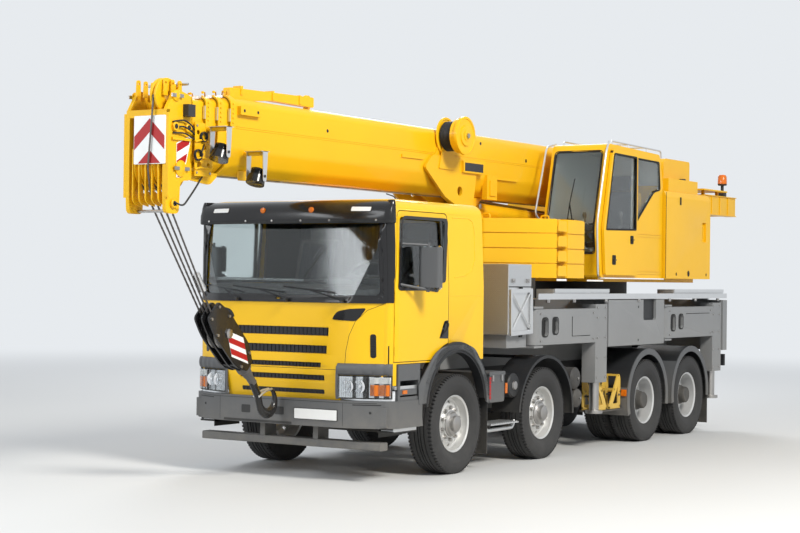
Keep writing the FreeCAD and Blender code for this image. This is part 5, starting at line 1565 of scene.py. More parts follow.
# %% [markdown]
# ## Deck and walkways
# Raised plates of checker plate with bright edges lie on the deck, and the rail along each side is held
# by clips.

# %% Deck plates
shape = bmesh.new()
low, high = 1.808, 1.918
for stretch in ((2.16, 3.6), (5.56, 7.27)):
    plan_plate(shape, (0.97, 1.215), stretch, (low, high), 0.02)
    block(shape, (1.212, 1.219), stretch, (high - 0.04, high + 0.004), 1)
close_piece(shape, "deck_plates", "carrier", [checker_plate, aluminium], mirror=True, smooth=30)

shape = bmesh.new()
for station in (1.95, 2.6, 3.45, 4.4, 5.35, 6.2, 7.0):
    block(shape, (1.232, 1.25), (station - 0.035, station + 0.035), (1.765, 1.8))
    lathe(shape, [(1.25, 0.01), (1.256, 0.01), (1.259, 0.0)], spot(0, station, 1.782), "x", 8)
for z in (1.286, 1.7):
    lathe(shape, [(1.2395, 0.017), (1.2412, 0.015), (1.2412, 0.0)], spot(0, 4.4, z), "x", 12, 1)
close_piece(shape, "deck_clips", "carrier", [bare_steel, black_plastic], mirror=True, smooth=30)

# %% [markdown]
# ## The rear end
# The rear lamps are a row of round lenses in a black housing on each side, and a blank number plate sits
# between them.

# %% Rear lamps
REAR_FACE = 7.36
shape = bmesh.new()
block(shape, (0.66, 1.2), (REAR_FACE - 0.01, REAR_FACE + 0.035), (0.86, 1.02))
for k, paint in enumerate((1, 1, 2, 3)):
    lathe(shape, [(0.0, 0.056), (0.011, 0.053), (0.017, 0.03), (0.018, 0.0)], spot(0.73 + 0.133 * k,
        REAR_FACE + 0.035, 0.94), "y", 24, paint)
for x in (0.74, 1.12):
    block(shape, (x, x + 0.03), (REAR_FACE - 0.03, REAR_FACE - 0.005), (0.96, 1.12))
add_mirrored(shape)
cross_plate(shape, rectangle((-0.26, 0.26), (0.8, 0.91), 0.01), (REAR_FACE + 0.004, REAR_FACE + 0.01), 4)
close_piece(shape, "rear_lamps", "carrier", [black_plastic, red_glass, amber_glass, lamp_glass, sign_white],
    smooth=35)

# %% [markdown]
# ## Openings and guards
# Each outrigger's wall has two recesses. Their floors are dark sheets of painted shade, a dark band of
# painted shade round each is wider towards the front, and hoses come out of the first one. The rear wheels'
# guards have broad lips, and their skirts reach down to the height of the axle.

# %% Openings and guards
for side, sign in SIDES:
    for end, pivot in (("front", 1.75), ("rear", 5.35)):
        shape = bmesh.new()
        floor_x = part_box(f"outrigger_{end}_left")[1][0] - 0.0395
        for front, back, low, high in ((0.13, 0.23, 1.385, 1.585), (0.385, 0.485, 1.408, 1.588)):
            outline = rectangle((pivot + front, pivot + back), (low, high), 0.045)
            # The recess's floor is a dark sheet of painted shade
            side_plate(shape, outline, (sign * floor_x, sign * (floor_x + 0.003)))
            # Dark band of painted shade round the opening, wider towards the front
            rim = rectangle((pivot + front - 0.055, pivot + back + 0.008), (low - 0.014, high + 0.014),
                0.06)
            side_plate(shape, rim, (sign * 1.23, sign * 1.233), 0, [outline])
        for k in range(4):
            z = 1.42 + 0.045 * k
            hose(shape, [(sign * (floor_x + 0.004), pivot + 0.17, z), (sign * (floor_x + 0.03),
                pivot + 0.14, z), (sign * (floor_x + 0.034), pivot + 0.09, z + 0.01)], 0.008, 0.02, 7)
        close_piece(shape, f"outrigger_{end}_{side}_openings", f"outrigger_{end}_{side}", rubber, smooth=35)

GUARD_TOP = 1.167
GUARD_RADIUS = 0.62
GUARD_LIPS = (
    # station, radius, first and last angle in degrees, width, paint
    (AXLE_STATIONS[1], 0.662, 175, -2, 0.03, 0),
    (AXLE_STATIONS[2], GUARD_RADIUS, 198, -10, 0.07, 1),
    (AXLE_STATIONS[3], GUARD_RADIUS, 190, -6, 0.07, 1),
)
GUARD_SKIRTS = (
    # station, first and last angle in degrees
    (AXLE_STATIONS[2], 198, 165.5),
    (AXLE_STATIONS[2], 44.5, -10),
    (AXLE_STATIONS[3], 190, 135.5),
)


def guard_arc(station, radius, over, under, first, last):
    """The outline between two arcs, one outside and one inside a guard's radius."""
    angles = [math.radians(first + (last - first) * k / 28) for k in range(29)]
    middle = (station, GUARD_TOP - radius)
    return arc(*middle, radius + over, angles) + arc(*middle, radius - under, angles[::-1])


shape = bmesh.new()
outline = ((4.552, 1.534, 0.04), (4.938, 1.534, 0.04), (4.938, 1.798), (4.552, 1.798))
side_plate(shape, outline, (1.2005, 1.204))
for station, radius, first, last, wide, paint in GUARD_LIPS:
    side_plate(shape, guard_arc(station, radius, 0.004, wide, first, last), (1.238, 1.25), paint)
for station, first, last in GUARD_SKIRTS:
    side_plate(shape, guard_arc(station, GUARD_RADIUS, 0, 0.012, first, last), (0.66, 1.239), 1)
# Marker on the front of the third wheel's guard
block(shape, (1.17, 1.235), (4.062, 4.085), (0.6, 0.68), 2)
close_piece(shape, "guard_lips", "carrier", [black_plastic, bumper_plastic, amber_glass], mirror=True,
    smooth=35)

# %% [markdown]
# ## The telescopic boom
# Four sections slide in each other. Each is a tube of folded plates with a wide flat top and a narrow
# belly, which resists bending best for its weight. A collar stiffens every mouth. Each tube is drawn with
# soft folds in place of sharp edges. Pads in the mouths guide the next section, lugs stand on the collars,
# and seams run along the first tube.

# %% Boom sections
FOLDS = ((0.245, 3.7, -1), (0.3, 3.645, -0.4), (0.3, 3.42, 0), (0.29, 3.2, 0.3), (0.228, 3.05, 0.8),
    (0.12, 2.97, 1))
MOUTHS = (-2.7, -2.86, -3.02, -3.17)
SECTION_STEP = 0.02
WALL = 0.009
SECTION_BODIES = ("boom_base", "boom_section_1", "boom_section_2", "boom_head")


def section_outline(inset, soft=0.035):
    right = [(half - inset, z + share * inset, soft) for half, z, share in FOLDS]
    return right + [(-x, z, r) for x, z, r in reversed(right)]


def ring_plate(shape, inset, wall, front, back, paint=0):
    """A hollow slice of the boom between two stations."""
    cross_plate(shape, section_outline(inset), (front, back), paint, [section_outline(inset + wall)])


def fold_point(inset, number, share, station, lift=0.0):
    """A point on the left side of a section, between two folds."""
    (xa, za, ha), (xb, zb, hb) = FOLDS[number], FOLDS[number + 1]
    a, b = Vector((xa - inset, za + ha * inset)), Vector((xb - inset, zb + hb * inset))
    out = Vector((a.y - b.y, b.x - a.x)).normalized()
    place = a.lerp(b, share) + out * lift
    return spot(place.x, station, place.y)


for number, (mouth, body) in enumerate(zip(MOUTHS, SECTION_BODIES)):
    inset = number * SECTION_STEP
    shape = bmesh.new()
    ring_plate(shape, inset, WALL, mouth, 6.4 - 0.1 * number)
    if number < 3:
        ring_plate(shape, inset - 0.014, 0.033, mouth, mouth + 0.07)
        ring_plate(shape, inset - 0.009, 0.009, mouth + 0.07, mouth + 0.085)
        # Pads that guide the next section, held by two screws each
        for x in (-0.17, 0.17):
            block(shape, (x - 0.05, x + 0.05), (mouth - 0.012, mouth + 0.002), (3.7 - inset - 0.012,
                3.7 - inset + 0.012), 1)
        for sign in (1, -1):
            block(shape, (sign * (0.3 - inset - 0.012), sign * (0.3 - inset + 0.012)),
                (mouth - 0.012, mouth + 0.002), (3.46, 3.58), 1)
        # Lifting lugs on top
        for x in (-0.205, 0.205):
            side_plate(shape, ((mouth - 0.002, 3.7 - inset, 0.0), (mouth + 0.072, 3.7 - inset, 0.0),
                (mouth + 0.06, 3.775 - inset, 0.02), (mouth + 0.01, 3.775 - inset, 0.02)),
                (x - 0.008, x + 0.008), 0, [disc(mouth + 0.035, 3.75 - inset, 0.012)])
    if number == 0:
        for fold, share in ((1, 0.98), (2, 0.06)):
            for sign in (1, -1):
                ends = [fold_point(0, fold, share, station, 0.0005) for station in (-2.6, 6.35)]
                pipe(shape, [Vector((sign * p.x, p.y, p.z)) for p in ends], 0.004, 0, 5)
        for sign in (1, -1):
            for station, z, size in ((2.017, 3.6, 0.02), (3.135, 3.47, 0.022), (-1.1, 3.5, 0.018)):
                lathe(shape, [(sign * 0.3002, size), (sign * 0.3012, size), (sign * 0.3012, 0)],
                    spot(0, station, z), "x", 14, 2)
        for station in [-2.2 + 0.62 * k for k in range(14)]:
            block(shape, (-0.06, 0.06), (station, station + 0.05), (2.962, 2.971), 3)
        block(shape, (-0.035, 0.035), (-2.55, 6.2), (2.96, 2.966), 3)
    close_piece(shape, f"{body}_tube", body, [crane_yellow, aluminium, gloss_black, bare_steel], smooth=32,
        replaces=[body])
    heads = []
    for k in range(5):
        for sign in (1, -1):
            place = fold_point(inset - 0.014, 1, 0.1 + 0.19 * k, mouth + 0.035)
            heads.append((Vector((sign * place.x, place.y, place.z)), (sign, 0, 0)))
    for x in (-0.2, -0.1, 0.0, 0.1, 0.2):
        heads.append((spot(x, mouth + 0.035, 3.7 - inset + 0.013), (0, 0, 1)))
    if number < 3:
        mesh = grown_mesh(point_tree, {"Shape": small_bolt, "Size": 0.9, "Finish": crane_yellow},
            points_mesh(heads))
        place_piece(f"{body}_screws", mesh, body, crane_yellow, 30)

# %% [markdown]
# ## Fittings on the first section
# The rear block holds the pivot, two ears below hold the luffing cylinder's rod, and the plates on the
# flanks spread its push. A cable reel pays out the line for the boom tip's sensors.

# %% Fittings of the base
shape = bmesh.new()
side_plate(shape, ((1.42, 2.975), (2.33, 2.975), (2.04, 2.785, 0.09), (1.86, 2.785, 0.09)), (0.11, 0.15))
flank = ((0.9, 3.4, 0.04), (0.74, 3.25, 0.04), (1.18, 2.94), (1.5, 2.83, 0.06), (1.8, 2.83, 0.05),
    (1.87, 3.21), (2.08, 3.335, 0.03), (2.08, 3.4, 0.02))
side_plate(shape, flank, (0.299, 0.332), 0, [disc(1.5, 3.02, 0.055)])
block(shape, (0.15, 0.3), (1.52, 1.8), (2.85, 2.875))
lathe(shape, [(0.332, 0.03), (0.345, 0.03), (0.349, 0.0)], spot(0, 1.95, 2.865), "x", 16, 1)
lathe(shape, [(0.15, 0.075), (0.162, 0.075), (0.166, 0.06), (0.168, 0.0)], spot(0, 1.95, 2.865), "x", 24, 1)
block(shape, (0.255, 0.322), (2.145, 2.385), (2.955, 3.24))
block(shape, (0.322, 0.336), (2.2, 2.33), (3.0, 3.18))
block(shape, (0.3, 0.345), (-2.585, -2.268), (3.535, 3.615))
for station in (-2.53, -2.32):
    lathe(shape, [(0.345, 0.016), (0.3465, 0.016), (0.3465, 0.0)], spot(0, station, 3.575), "x", 12, 3)
# Stiffeners that run along the flank
for front, back, z in ((0.3, 0.74, 3.33), (2.385, 2.9, 3.2)):
    block(shape, (0.296, 0.312), (front, back), (z, z + 0.03))
add_mirrored(shape)
side_plate(shape, ((6.4, 2.97), (6.4, 3.7, 0.02), (6.81, 3.55, 0.06), (6.88, 3.42, 0.06),
    (6.81, 3.29, 0.06)), (-0.3, 0.3))
block(shape, (0.288, 0.362), (1.53, 2.005), (3.235, 3.37))
block(shape, (0.362, 0.365), (1.56, 1.975), (3.255, 3.35), 3)
top_arm = ((-2.563, 3.695), (-2.563, 3.802, 0.02), (-1.192, 3.833, 0.02), (-1.192, 3.73, 0.02),
    (-1.9, 3.735), (-2.3, 3.695))
side_plate(shape, top_arm, (0.11, 0.19))
for station in (-2.4, -1.9, -1.45):
    block(shape, (0.1, 0.2), (station, station + 0.03), (3.745, 3.832))
side_plate(shape, ((-1.24, 3.72), (-1.14, 3.72, 0.02), (-1.14, 3.86, 0.03), (-1.24, 3.86, 0.03)),
    (0.09, 0.11), 0, [disc(-1.19, 3.8, 0.022)])
side_plate(shape, ((-2.4, 2.93, 0.01), (-2.29, 2.93, 0.01), (-2.27, 3.02), (-2.42, 3.02)), (0.17, 0.2))
close_piece(shape, "base_fittings", "boom_base", [crane_yellow, bare_steel, frame_paint, gloss_black],
    smooth=32, bevel=0.003)

# %% Cable reel
REEL_AT = (1.196, 3.618)
shape = bmesh.new()
centre = spot(0, *REEL_AT)
for low, high in ((0.312, 0.332), (0.545, 0.585)):
    lathe(shape, [(low, 0.05), (low, 0.207), (low + 0.004, 0.215), (high - 0.004, 0.215), (high, 0.207),
        (high, 0.19), (high - 0.01, 0.183), (high - 0.01, 0.05)], centre, "x", 56, 0, True)
lathe(shape, [(0.3, 0.06), (0.6, 0.06), (0.604, 0.04), (0.604, 0.0)], centre, "x", 32)
lathe(shape, [(0.575, 0.118), (0.59, 0.112), (0.594, 0.06)], centre, "x", 40)
# Turns of cable side by side
turns = []
for k in range(8):
    middle = 0.343 + 0.0175 * k
    turns += [(middle - 0.008, 0.16), (middle - 0.004, 0.167), (middle + 0.004, 0.167),
        (middle + 0.008, 0.16)]
lathe(shape, [(0.333, 0.1)] + turns + [(0.478, 0.1)], centre, "x", 48, 1, True)
lathe(shape, [(0.476, 0.1), (0.476, 0.186), (0.484, 0.192), (0.548, 0.192), (0.548, 0.1)], centre, "x", 48,
    0, True)
lathe(shape, [(0.604, 0.028), (0.622, 0.028), (0.626, 0.0)], centre, "x", 12, 2)
side_plate(shape, ((0.98, 3.395), (1.42, 3.395), (1.29, 3.66, 0.05), (1.1, 3.66, 0.05)), (0.298, 0.311))
side_plate(shape, ((1.02, 3.25, 0.02), (1.37, 3.25, 0.02), (1.25, 3.66, 0.04), (1.14, 3.66, 0.04)),
    (0.333, 0.345))
close_piece(shape, "cable_reel", "boom_base", [crane_yellow, black_plastic, bare_steel], smooth=35,
    bevel=0.0)

# %% [markdown]
# ## The boom head
# Two cheek plates carry the sheaves for the hoist rope, and one more sheave on top leads the rope in.
# A red and white plate warns traffic of the overhang. Two work lamps hang on brackets below.

# %% Head plates and sheaves
SHEAVE_AT = (-3.33, 2.985)
TOP_SHEAVE_AT = (-3.4, 3.64)
CHEEK = ((-3.17, 2.89), (-3.17, 3.64), (-3.225, 3.665, 0.05), (-3.4, 3.706, 0.05), (-3.53, 3.5, 0.03),
    (-3.53, 2.76, 0.05), (-3.52, 2.575, 0.05), (-3.34, 2.575, 0.05), (-3.325, 2.87, 0.05))
shape = bmesh.new()
side_plate(shape, CHEEK, (0.195, 0.235))
side_plate(shape, ((-3.17, 2.89), (-2.96, 2.866, 0.03), (-2.885, 2.862, 0.03), (-2.79, 2.935),
    (-2.79, 2.965), (-3.17, 2.965)), (0.205, 0.225))
block(shape, (0.19, 0.232), (-3.17, -2.79), (2.958, 2.97))
for station, z, size in ((*SHEAVE_AT, 0.075), (*TOP_SHEAVE_AT, 0.05)):
    lathe(shape, [(0.235, size), (0.248, size), (0.25, size * 0.8), (0.262, size * 0.5), (0.264, 0.0)],
        spot(0, station, z), "x", 24)
    block(shape, (0.248, 0.262), (station - size - 0.03, station + size + 0.03), (z - 0.016, z + 0.016), 1)
# Edge stiffener, box stubs and pins where a fly jib would hang
block(shape, (0.235, 0.262), (-3.53, -3.505), (2.72, 3.48))
block(shape, (0.235, 0.255), (-3.46, -3.2), (3.24, 3.262))
for station, z in ((-3.43, 2.665), (-3.42, 3.36), (-3.24, 3.36)):
    lathe(shape, [(0.235, 0.04), (0.258, 0.04), (0.262, 0.034)], spot(0, station, z), "x", 20)
    lathe(shape, [(0.262, 0.024), (0.2635, 0.024), (0.2635, 0.0)], spot(0, station, z), "x", 14, 3)
for station in (-3.46, -3.36, -3.26):
    side_plate(shape, ((station - 0.03, 3.64), (station + 0.03, 3.64), (station + 0.022, 3.79, 0.02),
        (station - 0.022, 3.79, 0.02)), (0.15, 0.166), 0, [disc(station, 3.755, 0.011)])
add_mirrored(shape)
block(shape, (-0.235, 0.235), (-3.19, -3.168), (3.04, 3.64))
block(shape, (-0.235, 0.235), (-3.529, -3.48), (3.44, 3.51))
block(shape, (-0.195, 0.195), (-3.3, -3.17), (2.885, 2.905))
for z in (2.6, 2.7):
    hose(shape, [(-0.195, -3.4, z), (0.195, -3.4, z)], 0.014, 0, 8, 1)
for k in range(4):
    middle = (k - 1.5) * 0.075
    lathe(shape, [(middle - 0.03, 0.06), (middle - 0.03, 0.19), (middle - 0.026, 0.195),
        (middle - 0.018, 0.195), (middle - 0.006, 0.168), (middle + 0.006, 0.168), (middle + 0.018, 0.195),
        (middle + 0.026, 0.195), (middle + 0.03, 0.19), (middle + 0.03, 0.06)], spot(0, *SHEAVE_AT), "x",
        48, 0, True)
for k in range(5):
    middle = (k - 2) * 0.075
    side_plate(shape, ((-3.535, 2.7, 0.02), (-3.5, 2.66, 0.02), (-3.4, 2.64), (-3.4, 2.72), (-3.5, 2.78),
        (-3.5, 3.16), (-3.535, 3.16, 0.01)), (middle - 0.006, middle + 0.006))
lathe(shape, [(0.062, 0.045), (0.062, 0.16), (0.066, 0.165), (0.084, 0.165), (0.094, 0.142), (0.106, 0.142),
    (0.116, 0.165), (0.134, 0.165), (0.138, 0.16), (0.138, 0.045)], spot(0, *TOP_SHEAVE_AT), "x", 48, 0,
    True)
hose(shape, [(-0.235, -3.23, 3.76), (0.235, -3.23, 3.76)], 0.012, 0, 8, 1)
close_piece(shape, "head_plates", "boom_head", [crane_yellow, bare_steel, frame_paint, gloss_black],
    smooth=32, bevel=0.002)

# %% Warning plates
FRONT_FACE = -3.54
# The plate's edges, and the line where its red stripes meet
LEFT_X, RIGHT_X, LOW_Z, HIGH_Z = -0.129, 0.233, 3.018, 3.455
MIDDLE_X = 0.054
shape = bmesh.new()
cross_plate(shape, rectangle((LEFT_X, RIGHT_X), (LOW_Z, HIGH_Z), 0.012), (FRONT_FACE - 0.005,
    FRONT_FACE + 0.013))
for sign, edge in ((-1, LEFT_X + 0.004), (1, RIGHT_X - 0.004)):
    upper = [(MIDDLE_X, 3.43), (edge, 3.268), (edge, 3.145), (MIDDLE_X, 3.304)]
    lower = [(MIDDLE_X, 3.146), (edge - sign * 0.045, 3.024), (MIDDLE_X, 3.024)]
    for stripe in (upper, lower):
        cross_plate(shape, stripe[::sign], (FRONT_FACE - 0.0062, FRONT_FACE - 0.0048), 1)
side_outline = ((-3.389, 3.214, 0.01), (-3.212, 3.285, 0.01), (-3.186, 3.267, 0.01), (-3.288, 2.916, 0.01),
    (-3.386, 2.9, 0.01))
SIDE_STRIPES = (
    # corners of each red stripe, from the top one down
    ((-3.384, 3.13), (-3.384, 3.205), (-3.25, 3.262), (-3.2, 3.262), (-3.216, 3.21)),
    ((-3.384, 2.98), (-3.384, 3.055), (-3.238, 3.128), (-3.262, 3.045)),
    ((-3.384, 2.906), (-3.284, 2.953), (-3.294, 2.918)),
)
for side, sign in SIDES:
    side_plate(shape, side_outline, (sign * 0.236, sign * 0.24))
    for stripe in SIDE_STRIPES:
        side_plate(shape, stripe, (sign * 0.2398, sign * 0.2412), 1)
close_piece(shape, "warning_plates", "boom_head", [sign_white, sign_red], smooth=30)

# %% Work lamps
def work_lamp(shape, x, station, z, tilt):
    """A round black lamp with fins, seen from its side, that points down and forward."""
    before = set(shape.verts)
    middle = Vector((0, 0, 0))
    lathe(shape, [(-0.1, 0.0), (-0.1, 0.04), (-0.085, 0.055), (-0.03, 0.062), (-0.025, 0.082),
        (0.045, 0.09), (0.055, 0.09), (0.055, 0.078)], middle, "z", 24)
    lathe(shape, [(0.0555, 0.079), (0.057, 0.0)], middle, "z", 24, 1)
    for k in range(5):
        low = -0.088 + 0.012 * k
        fin = [(low, 0.06), (low, 0.07), (low + 0.004, 0.07), (low + 0.004, 0.06)]
        lathe(shape, fin, middle, "z", 20, 0, True)
    tilted(shape, before, math.radians(tilt), spot(x, station, z))


LAMP_X = 0.43
WORK_LAMPS = (
    # body, station, height, and height of the bracket's top
    ("boom_head", -3.0, 3.13, 3.385),
    ("boom_base", -2.45, 2.94, 3.197),
)
for body, station, z, top in WORK_LAMPS:
    x = LAMP_X
    shape = bmesh.new()
    work_lamp(shape, x, station, z, 158)
    strap = (
        # from the lamp's pivot up the front edge, then down the rear edge
        (station - 0.025, z - 0.03, 0.02), (station - 0.028, z + 0.16, 0.03), (station - 0.03, top, 0.01),
        (station + 0.045, top, 0.01), (station + 0.04, z + 0.16, 0.03), (station + 0.025, z - 0.03, 0.02),
    )
    for low in (x - 0.1, x + 0.094):
        side_plate(shape, strap, (low, low + 0.006), 2)
        lathe(shape, [(low - 0.006, 0.014), (low + 0.012, 0.014)], spot(0, station, z + 0.02), "x", 12)
    block(shape, (x - 0.1, x + 0.1), (station - 0.055, station + 0.075), (top - 0.006, top), 2)
    hose(shape, [(0.225, station + 0.01, top - 0.02), (x + 0.05, station + 0.01, top - 0.02)], 0.022, 0, 16,
        3)
    close_piece(shape, f"{body}_work_lamp", body, [gloss_black, lamp_glass, aluminium, crane_yellow],
        smooth=35)

shape = bmesh.new()
for k in range(3):
    hose(shape, [(0.245, -3.45, 3.4 - 0.05 * k), (0.262, -3.3, 3.43 - 0.06 * k),
        (0.262, -3.16, 3.36 - 0.05 * k), (0.243, -3.12, 3.25)], 0.008, 0.06, 6)
hose(shape, [(0.26, -3.44, 2.68), (0.3, -3.36, 2.64), (0.3, -3.2, 2.8), (0.24, -3.02, 2.93)], 0.009, 0.08,
    6)
block(shape, (0.235, 0.3), (-3.3, -3.2), (3.46, 3.57), 1)
close_piece(shape, "head_cables", "boom_head", [black_plastic, frame_paint], smooth=40)

# The rope comes down from the upper sheave in front of the plate
shape = bmesh.new()
hose(shape, [(0.1, -3.5505, 3.64), (0.095, -3.563, 3.44), (0.054, -3.563, 2.98), (0.04, -3.5, 2.74)],
    0.0085, 0.05)
close_piece(shape, "rope_over_plate", "boom_head", [rope_steel], smooth=40)

# %% Brackets and coils beside the head
shape = bmesh.new()
bracket = ((-3.165, 2.93), (-2.93, 2.93, 0.02), (-2.9, 3.1, 0.03), (-2.93, 3.34, 0.03), (-3.02, 3.42, 0.03),
    (-3.165, 3.42))
openings = [disc(*place) for place in ((-3.1, 3.03, 0.034), (-3.03, 3.2, 0.028), (-3.12, 3.33, 0.022),
    (-2.97, 3.04, 0.018), (-2.96, 3.3, 0.016))]
side_plate(shape, bracket, (0.262, 0.27), 0, openings)
for station, z in ((-3.14, 2.96), (-2.95, 2.96), (-3.14, 3.39), (-2.95, 3.34), (-3.06, 3.13),
        (-2.93, 3.17)):
    block(shape, (0.2, 0.263), (station - 0.012, station + 0.012), (z - 0.012, z + 0.012))
    lathe(shape, [(0.27, 0.012), (0.278, 0.012), (0.278, 0.0)], spot(0, station, z), "x", 6, 1)
for station, z, radius in ((-3.06, 3.29, 0.042), (-3.14, 3.12, 0.048)):
    for turn in range(3):
        ring = arc(station, z, radius, [math.tau * k / 16 for k in range(17)])
        hose(shape, [(0.279 + 0.009 * turn, *point) for point in ring], 0.006, 0, 6, 2)
    hose(shape, [(0.285, station + radius, z), (0.29, station + 0.07, z + 0.07), (0.262, station + 0.12,
        z + 0.1)], 0.006, 0.02, 6, 2)
for low in (2.99, 3.08, 3.24):
    hose(shape, [(0.274, -3.165, low), (0.29, -3.1, low + 0.02), (0.29, -2.97, low + 0.015),
        (0.262, -2.9, low + 0.03)], 0.009, 0.03, 8)
close_piece(shape, "head_brackets", "boom_head", [crane_yellow, bare_steel, black_plastic], mirror=True,
    smooth=35)

# %% [markdown]
# ## Hoist ropes and hook block
# Four parts of rope run from the sheaves to the block, which is drawn back to the bumper for the road.
# The ropes are under load, so they are straight, and a fine twist shows on them. The block has its own
# sheaves between two black cheeks with a red and white mark, a swivel nut, and a forged hook whose
# section is thick at the bend and thin at the tip.

# %% Hook block
HOOK_TOP = (-2.64, 1.7)
HOOK_TIP = (-1.56, 0.65)
HOOK_LENGTH = math.hypot(HOOK_TIP[0] - HOOK_TOP[0], HOOK_TOP[1] - HOOK_TIP[1])
ROPE_RADIUS = 0.0085
SLANT = math.atan2(HOOK_TIP[0] - HOOK_TOP[0], HOOK_TOP[1] - HOOK_TIP[1])
shape = bmesh.new()
PULLEYS_AT = Vector((0, 0, -0.33))
lathe(shape, [(0.09, 0.05), (0.104, 0.05), (0.108, 0.04), (0.108, 0.0)], PULLEYS_AT, "x", 6, 1)
for y, z in ((-0.08, -0.045), (0.08, -0.045), (-0.125, -0.22), (0.125, -0.22), (-0.09, -0.7), (0.09, -0.7)):
    lathe(shape, [(0.09, 0.015), (0.1, 0.015), (0.1, 0.0)], Vector((0, y, z)), "x", 6, 1)
# Mark of red and white stripes on both sides
mark = [Vector(corner) for corner in ((-0.125, -0.52), (0.0, -0.755), (0.125, -0.52), (0.0, -0.285))]
sheet_plate(shape, mark, "x", 0.0902, 0.0935, 2)
for start in (0.22, 0.66):
    stripe = [mark[3].lerp(mark[0], start), mark[3].lerp(mark[0], start + 0.24), mark[2].lerp(mark[1],
        start + 0.24), mark[2].lerp(mark[1], start)]
    sheet_plate(shape, stripe, "x", 0.0934, 0.0945, 3)
add_mirrored(shape)
cheek = ((-0.11, 0.0, 0.04), (-0.16, -0.2, 0.08), (-0.15, -0.64, 0.06), (-0.06, -0.8, 0.03),
    (0.06, -0.8, 0.03), (0.15, -0.64, 0.06), (0.16, -0.2, 0.08), (0.11, 0.0, 0.04))
for middle in (-0.081, 0.0, 0.081):
    sheet_plate(shape, cheek, "x", middle - 0.009, middle + 0.009)
sheet_plate(shape, ((-0.145, -0.62, 0.02), (-0.06, -0.79, 0.02), (0.06, -0.79, 0.02), (0.145, -0.62, 0.02)),
    "x", -0.088, 0.088)
for middle in (-0.05, -0.022, 0.03, 0.054):
    lathe(shape, [(middle - 0.011, 0.04), (middle - 0.011, 0.146), (middle - 0.003, 0.132),
        (middle + 0.003, 0.132), (middle + 0.011, 0.146), (middle + 0.011, 0.04)], PULLEYS_AT, "x", 36, 1,
        True)
lathe(shape, [(-0.78, 0.075), (-0.84, 0.075), (-0.85, 0.065), (-0.86, 0.055), (-0.93, 0.048), (-0.95, 0.04),
    (-1.04, 0.04)], Vector((0, 0, 0)), "z", 24, 4)
# The hook as a bar: the place and the half width of each ring along it
bend_middle = Vector((0, 0.03, 0.17 - HOOK_LENGTH))
bar = [(Vector((0, 0, -1.02)), 0.04), (Vector((0, -0.035, 0.32 - HOOK_LENGTH)), 0.04)]
for k in range(15):
    angle = math.radians(150 + k * 222 / 14)
    size = 0.036 + 0.012 * math.sin(math.pi * min(1.0, k / 9)) - 0.02 * max(0, k - 9) / 5
    bar.append((bend_middle + 0.128 * Vector((0, math.cos(angle), math.sin(angle))), size))
rings = []
for k, (place, size) in enumerate(bar):
    tangent = (bar[min(k + 1, len(bar) - 1)][0] - bar[max(k - 1, 0)][0]).normalized()
    wide, out = Vector((0.85, 0, 0)), 1.1 * Vector((1, 0, 0)).cross(tangent)
    ring = [place + size * Vector(wide * a + out * b) for a, b in disc(0, 0, 1, 12)]
    rings.append([shape.verts.new(point) for point in ring])
skinned(shape, rings)
# Spring latch over the hook's mouth
for side, sign in SIDES:
    latch = ((0.03, -0.06, 0.33), (0.03, 0.05, 0.29), (0.02, 0.145, 0.215))
    pipe(shape, [(sign * x, y, z - HOOK_LENGTH) for x, y, z in latch], 0.012, 0.05, 8, 5)
tilted(shape, (), SLANT, spot(0, *HOOK_TOP))
# Ropes
slope = math.atan2(SHEAVE_AT[1] - HOOK_TOP[1], HOOK_TOP[0] - SHEAVE_AT[0])
leave = (SHEAVE_AT[0] - 0.175 * math.sin(slope), SHEAVE_AT[1] - 0.175 * math.cos(slope))
for k in range(4):
    x = (k - 1.5) * 0.075
    first, last = spot(x, *leave), spot(x * 0.6, HOOK_TOP[0] - 0.005, HOOK_TOP[1] - 0.03)
    pipe(shape, (first, last), ROPE_RADIUS, 0, 10, 6)
    # Two raised strands wind round each rope
    line = last - first
    across = Vector((1, 0, 0))
    side = line.cross(across).normalized()
    steps = int(line.length / 0.02)
    for phase in (0, math.pi):
        wound = [first + line * (n / steps) + 0.0065 * (across * math.cos(phase + n * 0.9) + side
            * math.sin(phase + n * 0.9)) for n in range(steps + 1)]
        pipe(shape, wound, 0.004, 0, 4, 6)
# Weight of the switch that stops the hook below the head
before = set(shape.verts)
lathe(shape, [(-0.1, 0.018), (-0.095, 0.034), (0.095, 0.034), (0.1, 0.018)], Vector((0, 0, 0)), "z", 20, 5)
tilted(shape, before, math.atan2(HOOK_TOP[0] - leave[0], leave[1] - HOOK_TOP[1]),
    spot(0.045, HOOK_TOP[0] - 0.155, HOOK_TOP[1] + 0.26))
close_piece(shape, "hook_and_ropes", "hook_block", [gloss_black, bare_steel, sign_white, sign_red,
    cast_iron, aluminium, rope_steel], smooth=38, bevel=0.0, replaces=["hook_block"])

# %% [markdown]
# ## The crane driver's cab
# Its panes sit in black rubber, and the wide front pane follows the curve of the cab. The door slides to
# the rear on two runners, so its trim rides on the door. Inside are a cloth seat with arm rests, two
# levers and a screen. Rails outside help the driver to climb in.

# %% Crane cab trim
def narrowed(outline, by):
    """The same outline, moved inwards by a width. Its points run round in either direction."""
    points = [Vector(p[:2]) for p in outline]
    area = sum(a.x * b.y - b.x * a.y for a, b in zip(points, points[1:] + points[:1]))
    turn = 1 if area > 0 else -1
    result = []
    for k, p in enumerate(points):
        before, after = points[k - 1], points[(k + 1) % len(points)]
        first = Vector((-(p - before).y, (p - before).x)).normalized() * turn
        second = Vector((-(after - p).y, (after - p).x)).normalized() * turn
        move = (first + second) / (1 + first.dot(second)) * by
        rest = outline[k][2:]
        result.append((p.x + move.x, p.y + move.y, *(max(r - by, 0.005) for r in rest)))
    return result


def seal(shape, outline, depths, wide, paint=0):
    """A strip of rubber round a pane that is seen from the side."""
    side_plate(shape, outline, depths, paint, [narrowed(outline, wide)])


